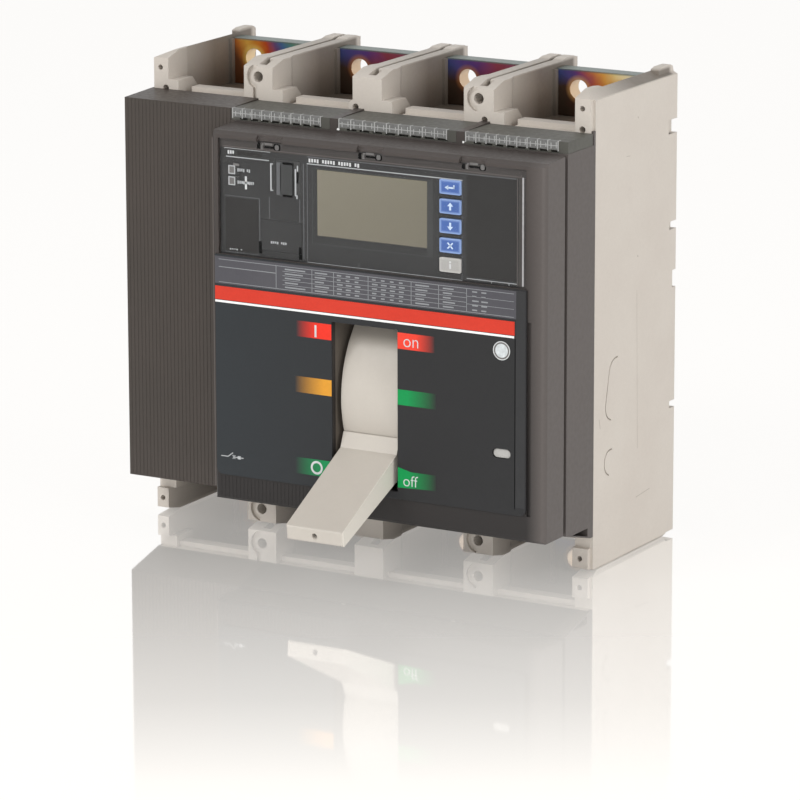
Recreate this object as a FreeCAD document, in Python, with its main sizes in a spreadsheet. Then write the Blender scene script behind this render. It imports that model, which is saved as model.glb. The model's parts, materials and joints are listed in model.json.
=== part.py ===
import FreeCAD, Part
import os
import Sketcher
from FreeCAD import Placement, Rotation, Vector

# Four-pole moulded case circuit breaker, lever operated, shown switched off.
# Millimetres. X to the right, Y to the rear, Z up.
# The origin is the centre of the flat back that lies on the mounting panel.

POLES = (0, 1, 2, 3)
LEVER_POLE = 2
ENDS = (("line", 1), ("load", -1))
PANEL_JOINTS = (1, 3)
KEYS = ("key_enter", "key_up", "key_down", "key_escape", "key_info")
# Notches in the rear edges of the sides: both ends as shares of half the height, then a share of the depth
NOTCHES = ((0.715, 0.775, 1), (0.312, 0.346, 0.8), (0.064, 0.137, 0.4), (-0.45, -0.42, 0.6))

DRIVING_SIZES = {
    # Outside
    "width": 280, "height": 268, "base_depth": 100, "mid_rise": 28.5, "front_rise": 24.5, "plate_rise": 1,
    # Base walls and terminal bays
    "outer_wall": 7.5, "inner_wall": 15, "bay_length": 30, "end_wall": 5, "rear_wall": 6,
    "post_width": 18.6, "outer_post": 11, "post_depth": 20, "post_fade": 5,
    "shoulder_width": 9, "shoulder_drop": 4.5, "nose_depth": 12, "nose_drop": 3.5,
    "lump_length": 14, "lump_round": 4, "lump_rise": 1, "barrier_slot": 2.4, "barrier_slot_depth": 5,
    "line_sill": 6.5, "load_sill": 9.5, "sill_depth": 14, "sill_lip": 3, "sill_lip_depth": 4,
    "foot_width": 6.5, "foot_depth": 20, "foot_rise": 13.5, "foot_gap": 5, "foot_gap_depth": 4,
    "panel_screw_inset": 10, "panel_screw_radius": 3,
    "crescent_inner": 4.8, "crescent_outer": 7.4, "crescent_depth": 2,
    "far_hole_radius": 1.5, "cover_hole_radius": 1.9, "cover_hole_depth": 14, "cover_hole_inset": 5.8,
    "cover_hole_right": 6.5, "cover_hole_step": 11.5, "cover_hole_shift": 3.5, "boss_radius": 4.6,
    "load_shoulder": 2, "load_nose_drop": 2.5, "load_hole_inset": 8, "heel_depth": 9, "heel_rise": 2.5,
    "web_width": 3.4, "web_step": 3, "web_height": 6.5, "lap_width": 1.5, "lap_depth": 3.2,
    "rear_pocket_depth": 2.5, "rear_pocket_margin": 9, "notch_width": 3.5, "notch_depth": 10,
    "knockout_depth": 0.8, "knockout_length": 35.5, "knockout_width": 17, "knockout_radius": 7.6,
    "knockout_inset": 27.1, "knockout_rise": 5.1, "knockout_gap": 15.4, "knockout_shift": 3.9,
    "knockout_groove": 0.8, "knockout_tilt_angle": 12.9,
    # Terminals, contacts and arc chutes
    "bar_side_gap": 1.5, "bar_thickness": 10, "bar_front": 26.5, "bar_end_gap": 2.5, "bar_tail_width": 28,
    "bar_hole_spacing": 25, "bar_hole_radius": 5.5, "bar_hole_edge": 11, "bar_grip": 0.6, "bar_rib_depth": 3,
    "bar_rib_end": 3, "line_tail_length": 31, "load_tail_length": 37, "fixed_pad_thickness": 5,
    "fixed_pad_width": 18, "fixed_pad_height": 14, "slip_gap": 0.2, "contact_gap": 0.3,
    "chute_length": 39, "chute_rear": 34, "chute_inset": 4, "chute_wall": 2, "plate_thickness": 2,
    "plate_notch": 20, "notch_throat": 16, "notch_inset": 15, "plate_count": 8, "plate_margin": 5.5,
    "sensor_height": 30, "sensor_front": 44, "sensor_window": 32, "sensor_window_depth": 14,
    "braid_width": 20, "braid_thickness": 4, "braid_reach": 12,
    # Contact shaft
    "shaft_depth": 40, "shaft_height": -5, "shaft_radius": 8, "shaft_overhang": 12, "bearing_size": 20,
    "running_gap": 0.05, "open_angle": 30, "arm_end_gap": 22, "arm_width": 12, "arm_thickness": 10,
    "arm_root": 3, "holder_width": 22, "holder_length": 24, "holder_thickness": 17,
    # Lever and mechanism
    "lever_offset": 29.1, "lever_width": 35.5, "lever_rest_angle": 27.5, "lever_travel_angle": 57,
    "drum_overlap": 13.7, "drum_inset": 5, "drum_wall": 3, "drum_margin_angle": 53,
    "cheek_wall": 3, "hub_radius": 9, "pin_radius": 4, "knuckle_rise": 6.9, "tip_reach": 130.5,
    "handle_top": 3, "handle_root": 14, "handle_tip": 8, "tip_rake": 3, "handle_edge": 1.2,
    "knuckle_top": 6, "root_overlap": 2, "tip_hole_radius": 1.6, "tip_hole_depth": 8,
    "frame_plate": 2.5, "shaft_clearance": 1, "frame_top": 24, "frame_end_gap": 8, "frame_lead": 12.5,
    "spacer_radius": 3, "yoke_wall": 2, "yoke_width": 12,
    # Covers
    "cover_wall": 3.5, "mid_top_inset": 22, "mid_slope": 1, "mid_load_inset": 28, "mid_load_slope": 7.5,
    "cover_gap": 0.2, "aux_rib": 5, "aux_gap": 2, "aux_ways": 8, "aux_margin": 4.6, "aux_way_edge": 1,
    "aux_way_rise": 0.3, "aux_way_height": 1.2, "aux_way_depth": 3,
    "rail_height": 7.5, "drum_hole_edge": 2, "screw_post_wall": 2,
    "rib_pitch": 2.4, "rib_groove": 0.5, "rib_groove_depth": 0.15, "rib_margin": 2, "post_overlap": 1,
    "cable_gap_rear": 3.2, "cable_gap_front": 7.3, "cable_gap_drop": 1.1, "cable_gap_rim": 0.8,
    "cable_gap_depth": 14,
    "cover_step": 2, "front_wall": 3, "front_top_inset": 33, "front_slope": 2.8,
    "front_bottom_inset": 29, "front_bevel": 3, "bevel_drop": 1.8, "groove_width": 3, "groove_depth": 1.6,
    "border_groove": 2.4, "border_groove_depth": 1.2,
    "screw_radius": 2, "screw_head_radius": 3.8, "screw_head": 3, "screw_length": 26, "screw_inset": 8,
    "screw_rise": 12,
    # Front plate
    "plate_margin_left": 2, "plate_margin_right": 11, "plate_corner": 4, "slot_gap": 2.95, "slot_drop": 2.7,
    "stripe_margin": 7, "inlay_depth": 0.6, "zone_gap": 1.2, "inlay_gap": 0.1,
    "button_inset": 26, "button_length": 10.6, "button_height": 4.8, "button_gap": 0.3,
    "button_flange": 2, "button_rod": 2.2, "button_cap": 6, "flange_thickness": 1.5, "mark_radius": 4,
    "label_end": 1,
    # Trip unit
    "window_margin_left": 4, "window_margin_right": 12,
    "fascia_thickness": 2, "fascia_rise": 1, "fascia_overlap": 2,
    "display_offset": 62, "display_width": 71.5, "key_offset": 138.7, "key_width": 13.2,
    "key_gap": 0.3, "key_rise": 0.9, "key_travel": 0.8, "key_flange": 1.2, "key_foot": 0.8, "key_space": 2.65,
    "connector_offset": 35.7, "connector_width": 15.7, "plug_offset": 25.5, "plug_width": 27.5,
    "unit_depth": 16, "board_thickness": 1.6, "unit_margin": 2,
    "lens_size": 4, "lens_offset": 10.7, "lens_pitch": 7.3, "lens_count": 2, "lens_rise": 0.3,
    "slot_depth": 2, "connector_slot_count": 4, "plug_slot_count": 2,
    # Hinged clear cover
    "lid_thickness": 1.2, "lid_rim": 1.2, "lid_gap": 0.3, "hinge_rise": 1.9, "hinge_inset": 1.7,
    "hinge_radius": 1.5, "hinge_width": 14, "hinge_side_gap": 1, "hinge_first": 32.7,
    # Trip shaft and release coil
    "trip_lag": 7.5, "trip_rise": 10, "trip_radius": 3, "paddle_length": 32, "paddle_width": 9,
    "paddle_thickness": 3, "coil_width": 28, "coil_bottom": -16, "coil_height": 34,
    "coil_depth": 24, "plunger_length": 6,
    # How far a cutting tool goes past the surface that it cuts
    "beyond": 1,
}

# Heights on the front cover, as shares of its height counted from its lower edge
FRONT_SHARES = {
    "window_top": 0.99, "window_bottom": 0.6767, "label_bottom": 0.5951, "stripe_bottom": 0.5515,
    "slot_top": 0.5282, "lever": 0.3155, "plate_bottom": 0.0704, "mark": 0.5078, "button": 0.232,
    "display_top": 0.9311, "display_bottom": 0.7529, "key_top": 0.9422, "key_pitch": 0.0517,
    "connector_top": 0.9471, "connector_bottom": 0.8573, "plug_top": 0.7816, "plug_bottom": 0.6966,
    "lens_top": 0.9141,
}


class Size:
    """A length with its present value and the sheet expression that gives it."""

    def __init__(self, value, text):
        self.value = float(value)
        self.text = text

    def __add__(self, other):
        return joined(self, "+", other)

    def __radd__(self, other):
        return joined(other, "+", self)

    def __sub__(self, other):
        return joined(self, "-", other)

    def __rsub__(self, other):
        return joined(other, "-", self)

    def __mul__(self, other):
        return joined(self, "*", other)

    def __rmul__(self, other):
        return joined(other, "*", self)

    def __truediv__(self, other):
        return joined(self, "/", other)

    def __neg__(self):
        return joined(0, "-", self)


def number(size):
    """The plain value of a size or a number."""
    return size.value if isinstance(size, Size) else float(size)


def words(size):
    """The sheet expression of a size or a number."""
    return size.text if isinstance(size, Size) else repr(size)


def joined(left, sign, right):
    """Two sizes joined by one arithmetic sign."""
    a = number(left)
    b = number(right)
    value = {"+": a + b, "-": a - b, "*": a * b}[sign] if sign != "/" else a / b
    return Size(value, "(" + words(left) + " " + sign + " " + words(right) + ")")


def turned(function, angle):
    """The sine or cosine of an angle in degrees."""
    turn = Rotation(Vector(0, 0, 1), number(angle)).multVec(Vector(1, 0, 0))
    value = {"cos": turn.x, "sin": turn.y}[function]
    return Size(value, function + "(" + words(angle) + ")")


class SizeSheet:
    """The driving sizes, each read as an attribute, such as D.width."""

    def __init__(self, document, table):
        self.sheet = document.addObject("Spreadsheet::Sheet", "Sizes")
        self.table = table
        for row, (alias, value) in enumerate(table.items(), start=1):
            self.sheet.set("A" + str(row), alias)
            self.sheet.set("B" + str(row), str(value))
            self.sheet.setAlias("B" + str(row), alias)

    def __getattr__(self, alias):
        return Size(self.table[alias], self.sheet.Name + "." + alias)


doc = FreeCAD.newDocument("circuit_breaker")
D = SizeSheet(doc, DRIVING_SIZES)
doc.recompute()
pieces = []

ALONG = {
    "x": Rotation(Vector(0, 1, 0), 90),
    "y": Rotation(Vector(1, 0, 0), -90),
    "z": Rotation(),
}


# Tools for building sub-parts


def bind(item, path, size):
    """Tie one property of an object to a sheet expression."""
    item.setExpression(path, words(size))


def block(name, x, y, z):
    """A box between two places along each axis."""
    item = doc.addObject("Part::Box", name)
    for side, span in (("Length", x), ("Width", y), ("Height", z)):
        bind(item, side, span[1] - span[0])
    for axis, span in (("x", x), ("y", y), ("z", z)):
        bind(item, "Placement.Base." + axis, span[0])
    return item


def rod(name, radius, x, y, z):
    """A cylinder along the axis whose place is given as a span."""
    item = doc.addObject("Part::Cylinder", name)
    places = {"x": x, "y": y, "z": z}
    axis = [key for key, place in places.items() if isinstance(place, tuple)][0]
    item.Placement = Placement(Vector(), ALONG[axis])
    bind(item, "Radius", radius)
    bind(item, "Height", places[axis][1] - places[axis][0])
    for key, place in places.items():
        bind(item, "Placement.Base." + key, place[0] if key == axis else place)
    return item


def outline(sketch, points):
    """A closed run of lines whose corners are all tied to sizes."""
    first = sketch.GeometryCount
    count = len(points)
    for index in range(count):
        start = points[index]
        end = points[(index + 1) % count]
        line = Part.LineSegment(
            Vector(number(start[0]), number(start[1]), 0), Vector(number(end[0]), number(end[1]), 0)
        )
        sketch.addGeometry(line)
    for index in range(count):
        follower = first + (index + 1) % count
        sketch.addConstraint(Sketcher.Constraint("Coincident", first + index, 2, follower, 1))
    for index, point in enumerate(points):
        for kind, size in (("DistanceX", point[0]), ("DistanceY", point[1])):
            rule = Sketcher.Constraint(kind, -1, 1, first + index, 1, number(size))
            place = sketch.addConstraint(rule)
            bind(sketch, "Constraints[" + str(place) + "]", size)


def circle(sketch, centre, radius):
    """A circle tied to sizes."""
    middle = Vector(number(centre[0]), number(centre[1]), 0)
    index = sketch.addGeometry(Part.Circle(middle, Vector(0, 0, 1), number(radius)))
    rules = (
        ("DistanceX", centre[0], (-1, 1, index, 3)),
        ("DistanceY", centre[1], (-1, 1, index, 3)),
    )
    for kind, size, ends in rules:
        place = sketch.addConstraint(Sketcher.Constraint(kind, *ends, number(size)))
        bind(sketch, "Constraints[" + str(place) + "]", size)
    place = sketch.addConstraint(Sketcher.Constraint("Radius", index, number(radius)))
    bind(sketch, "Constraints[" + str(place) + "]", radius)


def rectangle(u, v):
    """The four corners of a rectangle."""
    return ((u[0], v[0]), (u[1], v[0]), (u[1], v[1]), (u[0], v[1]))


def sketch_on(body, role, offset, loops, circles=()):
    """A sketch on one of the body's own planes, moved out along its normal."""
    sketch = body.newObject("Sketcher::SketchObject", body.Name + "_outline")
    plane = [item for item in body.Origin.OriginFeatures if item.Role == role][0]
    sketch.AttachmentSupport = [(plane, "")]
    sketch.MapMode = "FlatFace"
    bind(sketch, "AttachmentOffset.Base.z", offset)
    for loop in loops:
        outline(sketch, loop)
    for centre, radius in circles:
        circle(sketch, centre, radius)
    return sketch


def padded(name, role, span, loops, circles=()):
    """A body made by padding outlines from one place to another along the plane's normal."""
    body = doc.addObject("PartDesign::Body", name)
    sketch = sketch_on(body, role, span[0], loops, circles)
    pad = body.newObject("PartDesign::Pad", name + "_pad")
    pad.Profile = sketch
    bind(pad, "Length", span[1] - span[0])
    return body


def pocketed(body, role, span, loops, circles=()):
    """Cut outlines out of a body, from one place to another along the plane's normal."""
    sketch = sketch_on(body, role, span[1], loops, circles)
    pocket = body.newObject("PartDesign::Pocket", body.Name + "_pocket")
    pocket.Profile = sketch
    bind(pocket, "Length", span[1] - span[0])
    return pocket


def rounded(body, radius, wanted):
    """Fillet the edges of a body that the test picks."""
    doc.recompute()
    tip = body.Tip
    edges = [
        "Edge" + str(index)
        for index, edge in enumerate(tip.Shape.Edges, start=1)
        if wanted(edge)
    ]
    fillet = body.newObject("PartDesign::Fillet", body.Name + "_fillet")
    fillet.Base = (tip, edges)
    bind(fillet, "Radius", radius)
    return fillet


def straight_along(edge, axis):
    """True for a straight edge that runs along an axis."""
    if len(edge.Vertexes) != 2 or not isinstance(edge.Curve, Part.Line):
        return False
    run = edge.Vertexes[1].Point - edge.Vertexes[0].Point
    return run.Length > 0 and abs(abs(run.normalize().dot(axis)) - 1) < 1e-6


def fused(name, items):
    """Several shapes joined into one."""
    item = doc.addObject("Part::MultiFuse", name)
    item.Shapes = list(items)
    item.Refine = True
    return item


def cut(name, base, tools):
    """A shape with others taken away."""
    item = doc.addObject("Part::Cut", name)
    item.Base = base
    item.Tool = tools[0] if len(tools) == 1 else fused(name + "_tools", tools)
    item.Refine = True
    return item


def common(name, first, second):
    """The space that two shapes share."""
    item = doc.addObject("Part::Common", name)
    item.Base = first
    item.Tool = second
    return item


def group(name, items):
    """Several separate solids kept as one sub-part."""
    item = doc.addObject("Part::Compound", name)
    item.Links = list(items)
    return item


def swung(item, depth, height, angle):
    """Turn a shape drawn about the X axis and set its axis at a depth and height."""
    item.Placement = Placement(Vector(), Rotation(Vector(1, 0, 0), number(angle)))
    bind(item, "Placement.Base.y", -depth)
    bind(item, "Placement.Base.z", height)
    bind(item, "Placement.Rotation.Angle", angle)
    return item


def piece(name, item):
    """Register a finished sub-part under its own name."""
    item.Label = name
    pieces.append(item)
    return item


def pole_x(pole):
    """The middle of a pole."""
    return pole_pitch * (pole - (len(POLES) - 1) / 2)


def joint_x(joint):
    """The middle of the wall between two poles, counted from the left."""
    return pole_pitch * (joint - len(POLES) / 2)


def level(name):
    """A height on the front cover."""
    return cover_height * FRONT_SHARES[name] - front_bottom


# Places that several sub-parts share

half_width = D.width / 2
half_height = D.height / 2
pole_pitch = D.width / len(POLES)
mid_depth = D.base_depth + D.mid_rise
front_depth = mid_depth + D.front_rise
body_depth = front_depth + D.plate_rise
wall_top = half_height - D.lump_rise
bay_floor = half_height - D.bay_length
chamber_end = bay_floor - D.end_wall
bar_rear = D.bar_front - D.bar_thickness
bar_width = pole_pitch - D.inner_wall - 2 * D.bar_side_gap
line_tail_end = chamber_end - D.line_tail_length
load_tail_end = chamber_end - D.load_tail_length
chute_bottom = chamber_end - D.chute_length
chute_front = D.base_depth - D.chute_inset
arm_length = chamber_end - D.arm_end_gap - D.shaft_height
sill = {1: bay_floor + D.line_sill, -1: bay_floor + D.load_sill}
screw_z = half_height - D.panel_screw_inset
load_hole_z = -(half_height - D.load_hole_inset)
mid_top = half_height - D.mid_top_inset
mid_front_top = mid_top - D.mid_slope
mid_front_bottom = half_height - D.mid_load_inset
mid_bottom = mid_front_bottom + D.mid_load_slope
front_top = half_height - D.front_top_inset
front_rear_top = front_top + D.front_slope
front_bottom = half_height - D.front_bottom_inset
cover_height = front_top + front_bottom
cover_left = joint_x(1) + D.cover_step
plate_left = cover_left + D.plate_margin_left
plate_right = half_width - D.plate_margin_right
plate_top = level("window_bottom") - D.zone_gap / 3
plate_bottom = level("plate_bottom")
stripe_z = (level("stripe_bottom"), level("label_bottom") - D.zone_gap)
label_z = (level("label_bottom"), plate_top - D.zone_gap / 1.5)
stripe_right = plate_right - D.stripe_margin
window_left = cover_left + D.window_margin_left
window_right = half_width - D.window_margin_right
window_z = (level("window_bottom"), level("window_top"))
display_x = (window_left + D.display_offset, window_left + D.display_offset + D.display_width)
key_x = (window_left + D.key_offset, window_left + D.key_offset + D.key_width)
key_pitch = cover_height * FRONT_SHARES["key_pitch"]
key_height = key_pitch - D.key_space
connector_x = (window_left + D.connector_offset, window_left + D.connector_offset + D.connector_width)
plug_x = (window_left + D.plug_offset, window_left + D.plug_offset + D.plug_width)
lens_x = window_left + D.lens_offset
plate_pitch = (chute_front - D.chute_rear - 2 * D.plate_thickness - D.plate_margin) / (D.plate_count - 1)
lever_centre = joint_x(LEVER_POLE) + D.lever_offset
lever_x = (lever_centre - D.lever_width / 2, lever_centre + D.lever_width / 2)
slot_x = (lever_x[0] - D.slot_gap, lever_x[1] + D.slot_gap)
lever_height = level("lever")
slot_half = level("slot_top") - lever_height
slot_z = (lever_height - slot_half - D.slot_drop, level("slot_top"))
drum_radius = slot_half + D.drum_overlap
lever_depth = body_depth - D.drum_inset - drum_radius
knuckle_reach = drum_radius + D.knuckle_rise
frame_bottom = chamber_end - D.sensor_height - D.frame_end_gap
frame_front = lever_depth + D.frame_lead
button_x = half_width - D.button_inset
button_z = level("button")
trip_depth = lever_depth - D.trip_lag
trip_height = lever_height + D.trip_rise
fascia_front = front_depth - D.front_wall + D.fascia_rise
fascia_back = front_depth - D.front_wall - D.fascia_thickness
unit_step = D.key_flange + D.key_travel + D.key_gap
lid_inner = body_depth - D.lid_thickness
hinge_depth = body_depth - D.hinge_inset
hinge_z = window_z[1] + D.hinge_rise
hinge_places = (
    window_left + D.hinge_first, (window_left + window_right) / 2, window_right - D.hinge_first,
)
aux_spans = (
    (-pole_pitch, -D.aux_rib - D.aux_gap), (-D.aux_gap, pole_pitch + D.aux_gap),
    (pole_pitch + D.aux_rib + D.aux_gap, half_width + D.cover_gap / 2),
)


def flipped(end, span):
    """A height span for the line end, or its mirror image for the load end."""
    return span if end > 0 else (-span[1], -span[0])


def bay_span(pole, end):
    """The clear width of a terminal bay between the posts at its front."""
    left_post = D.outer_post if end > 0 else D.outer_wall
    left = -half_width + left_post if pole == POLES[0] else joint_x(pole) + D.post_width / 2
    right = half_width - D.outer_post if pole == POLES[-1] else joint_x(pole + 1) - D.post_width / 2
    return (left, right)


def chamber_span(pole):
    """The clear width of a pole's chamber inside the base."""
    left = -half_width + D.outer_wall if pole == POLES[0] else joint_x(pole) + D.inner_wall / 2
    right = half_width - D.outer_wall if pole == POLES[-1] else joint_x(pole + 1) - D.inner_wall / 2
    return (left, right)


# Base: the pale moulded tub that holds every pole


def base_block():
    """The outer block, with sloped shoulders at the line end of its sides and raised rear lips there."""
    low_edge = half_height - D.load_shoulder
    body = padded("base_block", "XZ_Plane", (0, D.base_depth), (
        (
            (-half_width, -low_edge),
            (-half_width + D.load_shoulder, -half_height),
            (half_width - D.load_shoulder, -half_height),
            (half_width, -low_edge),
            (half_width, wall_top - D.shoulder_drop),
            (half_width - D.shoulder_width, wall_top),
            (-half_width + D.shoulder_width, wall_top),
            (-half_width, wall_top - D.shoulder_drop),
        ),
    ))
    lumps = []
    turn = D.lump_round
    low = wall_top - D.nose_depth
    for joint in range(len(POLES) + 1):
        middle = joint_x(joint)
        x = (middle - D.inner_wall / 2, middle + D.inner_wall / 2)
        if joint == 0:
            x = (-half_width + D.outer_wall / 3, -half_width + D.outer_wall)
        if joint == len(POLES):
            x = (half_width - D.outer_wall, half_width - D.outer_wall / 3)
        lumps.append(padded("lump_" + str(joint), "YZ_Plane", x, (
            (
                (-D.lump_length - turn, low), (-D.lump_length - turn, wall_top),
                (-D.lump_length, half_height), (-turn, half_height),
                (-turn / 3, half_height - turn / 4), (0, half_height - turn), (0, low),
            ),
        )))
    return fused("base_outer", [body] + lumps)


def nose_cut(end_name, end):
    """The slope along the front corner of the wall tops at one end."""
    reach = half_width + D.beyond
    high = (wall_top if end > 0 else half_height) * end
    low = high - (D.nose_drop if end > 0 else D.load_nose_drop) * end
    outside = (half_height + D.beyond) * end
    before = -D.base_depth - D.beyond
    return padded("nose_" + end_name, "YZ_Plane", (-reach, reach), (
        (
            (before, low), (-D.base_depth, low), (-D.base_depth + D.nose_depth, high),
            (-D.base_depth + D.nose_depth, outside), (before, outside),
        ),
    ))


def bay_cuts(pole, end_name, end):
    """The open terminal bay: narrow between the posts, wide behind them, with a stepped front sill."""
    x = bay_span(pole, end)
    wide = chamber_span(pole)
    name = end_name + str(pole)
    top = half_height + D.beyond
    before = -D.base_depth - D.beyond
    lip_top = sill[end] + D.sill_lip
    lip_front = D.base_depth - D.sill_depth + 2 * D.sill_lip_depth
    post_back = -D.base_depth + D.post_depth
    deep = block(
        "bay_" + name, x, (-(D.base_depth - D.sill_depth), D.beyond), flipped(end, (bay_floor, top))
    )
    low = bay_floor * end
    high = top * end
    rear = padded("bay_rear_" + name, "XY_Plane", (low, high) if end > 0 else (high, low), (
        (
            (x[0], post_back), (x[1], post_back), (wide[1], post_back + D.post_fade),
            (wide[1], D.beyond), (wide[0], D.beyond), (wide[0], post_back + D.post_fade),
        ),
    ))
    front = block("bay_front_" + name, x, (before, D.beyond), flipped(end, (lip_top, top)))
    ledge = block("bay_ledge_" + name, x, (before, -lip_front), flipped(end, (sill[end], top)))
    x_middle = pole_x(pole)
    slot_half = D.bar_tail_width / 2 + D.slip_gap
    tail = block(
        "tail_slot_" + name, (x_middle - slot_half, x_middle + slot_half),
        (-D.bar_front - D.slip_gap, -bar_rear + D.slip_gap),
        flipped(end, (chamber_end - D.beyond, bay_floor + D.beyond)),
    )
    cuts = [deep, rear, front, ledge, tail]
    if end > 0:
        gap = x[0] + D.foot_width
        cuts.append(block(
            "foot_gap_" + name, (gap, gap + D.foot_gap), (before, D.beyond),
            (sill[end] - D.foot_gap_depth, top),
        ))
    return cuts


def bay_feet():
    """The raised block at the left of each upper bay's sill."""
    feet = []
    for pole in POLES:
        left = bay_span(pole, 1)[0]
        rear = -D.base_depth + D.foot_depth
        top = bay_floor + D.foot_rise
        feet.append(padded("bay_foot_" + str(pole), "YZ_Plane", (left - D.beyond, left + D.foot_width), (
            (
                (-D.base_depth, bay_floor - D.beyond), (-D.base_depth, top), (rear - D.post_fade, top),
                (rear, top - D.post_fade), (rear, bay_floor - D.beyond),
            ),
        )))
    return feet


def bar_ribs(pole, end_name, end):
    """The ribs at both sides of a bay that hold the terminal bar, before and behind it."""
    x = chamber_span(pole)
    middle = pole_x(pole)
    reach = bar_width / 2 - D.bar_grip
    z = flipped(end, (bay_floor - D.beyond, wall_top - D.bar_rib_end))
    ribs = []
    for side, wide in (
        ("left", (x[0] - D.beyond, middle - reach)), ("right", (middle + reach, x[1] + D.beyond)),
    ):
        for place, deep in (
            ("front", (-D.bar_front - D.bar_rib_depth, -D.bar_front)),
            ("rear", (-bar_rear, -bar_rear + D.bar_rib_depth)),
        ):
            ribs.append(block("rib_" + end_name + str(pole) + side + place, wide, deep, z))
    return ribs


def load_webs():
    """The small web behind the set-back part of the left corner at the load end."""
    inner = -half_width + D.outer_wall
    top = -(sill[-1] - D.beyond)
    return [block(
        "load_web", (inner - D.beyond, inner + D.web_width),
        (-D.base_depth + D.web_step, -D.base_depth + D.post_depth), (-(sill[-1] + D.web_height), top),
    )]


def rim_cuts():
    """The set-back corners under the cover at the load end, and the laps where the cover's skirts fit."""
    before = -D.base_depth - D.beyond
    outside = half_width + D.beyond
    corner = (before, -D.base_depth + D.web_step)
    under = (-(sill[-1] + D.web_height), -mid_bottom)
    lap = (before, -D.base_depth + D.lap_depth)
    above = half_height + D.beyond
    inner = half_width - D.lap_width
    heel = (-D.heel_depth, D.beyond)
    low = (-half_height - D.beyond, -half_height + D.heel_rise)
    wide = half_width - D.outer_wall
    return [
        block("corner_left", (-outside, -half_width + D.outer_wall + D.web_width), corner, under),
        block("corner_right", (half_width - D.outer_post - D.beyond, outside), corner, under),
        block("lap_left", (-outside, -inner), lap, (-mid_bottom, above)),
        block("lap_right", (inner, outside), lap, (-above, above)),
        block("heel_left", (-outside, -wide + D.beyond), heel, low),
        block("heel_right", (wide - D.beyond, outside), heel, low),
    ]


def barrier_slots(end_name, end):
    """The slot along the top of each inner wall for a phase barrier, wider at the nose."""
    cuts = []
    for joint in range(1, len(POLES)):
        x = joint_x(joint)
        name = end_name + str(joint)
        half = D.barrier_slot / 2
        top = half_height + D.beyond
        z = flipped(end, (wall_top - D.barrier_slot_depth, top))
        long = (-D.base_depth + D.nose_depth / 2, D.beyond)
        cuts.append(block("barrier_" + name, (x - half, x + half), long, z))
        wide = flipped(end, (wall_top - D.nose_drop - D.barrier_slot_depth / 2, top))
        cuts.append(block(
            "barrier_mouth_" + name, (x - half, x + 3 * half),
            (-D.base_depth + D.nose_drop, -D.base_depth + D.nose_depth - half), wide,
        ))
    return cuts


def panel_screw_cuts():
    """The four through holes for the panel screws, each with its crescent recess."""
    cuts = []
    before = -D.base_depth - D.beyond
    front = (before, -D.base_depth + D.crescent_depth)
    for joint in PANEL_JOINTS:
        x = joint_x(joint)
        for end_name, end in ENDS:
            z = screw_z * end
            name = end_name + str(joint)
            cuts.append(rod("panel_hole_" + name, D.panel_screw_radius, x, (before, D.beyond), z))
            ring = cut("crescent_ring_" + name, rod("crescent_out_" + name, D.crescent_outer, x, front, z), [
                rod("crescent_in_" + name, D.crescent_inner, x, front, z),
            ])
            reach = D.crescent_outer + D.beyond
            half_slot = D.barrier_slot / 2
            half = block("crescent_half_" + name, (x - reach, x - half_slot), front, (z - reach, z + reach))
            cuts.append(common("crescent_" + name, ring, half))
            if joint == PANEL_JOINTS[0]:
                tail = flipped(end, (chamber_end, screw_z - D.crescent_inner))
                middle = x - D.crescent_inner / 2
                wide = (middle - half_slot, middle + half_slot)
                cuts.append(block("crescent_tail_" + name, wide, front, tail))
    return cuts


def near_holes():
    """The lower row of cover holes at the line end: name and place along X."""
    edge = D.post_width / 2 - D.cover_hole_radius
    return (
        ("left", -half_width + D.cover_hole_inset + D.cover_hole_shift), ("boss", joint_x(LEVER_POLE) - edge),
        ("wall", joint_x(LEVER_POLE + 1) + D.cover_hole_shift), ("right", half_width - D.cover_hole_right),
    )


def far_holes():
    """The outermost cover holes: name, place along X and height."""
    left = -half_width + D.cover_hole_inset
    right = half_width - D.cover_hole_right
    return (
        ("line_left", left, screw_z), ("line_right", right, screw_z),
        ("load_left", -half_width + D.outer_wall / 2, load_hole_z), ("load_right", right, load_hole_z),
    )


def cover_hole_cuts():
    """The blind holes in the wall fronts where terminal covers screw on."""
    cuts = []
    deep = (-D.base_depth - D.beyond, -D.base_depth + D.cover_hole_depth)
    for name, x, z in far_holes():
        cuts.append(rod("cover_hole_far_" + name, D.far_hole_radius, x, deep, z))
    for name, x in near_holes():
        cuts.append(rod("cover_hole_near_" + name, D.cover_hole_radius, x, deep, screw_z - D.cover_hole_step))
    return cuts


def hole_boss():
    """The round boss that carries the hole beside the middle wall."""
    x = dict(near_holes())["boss"]
    deep = (-D.base_depth, -D.base_depth + D.sill_depth)
    return rod("hole_boss", D.boss_radius, x, deep, screw_z - D.cover_hole_step)


def knockout_oval(name, x, radius, straight):
    """A bar with round ends, standing along Z, about the X axis."""
    ends = [
        rod(name + "_top", radius, x, 0, straight), rod(name + "_low", radius, x, 0, -straight),
    ]
    return fused(name, ends + [block(name + "_middle", x, (-radius, radius), (-straight, straight))])


def knockout_groove(name, x, outer, inner, centre):
    """The front half of the groove between two outlines, set in a side face at a depth and height."""
    reach = D.knockout_length
    ring = cut(name + "_ring", outer, [inner])
    half = block(name + "_half", x, (-reach, 0), (-reach, reach))
    return swung(common(name, ring, half), -centre[0], centre[1], -D.knockout_tilt_angle)


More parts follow.
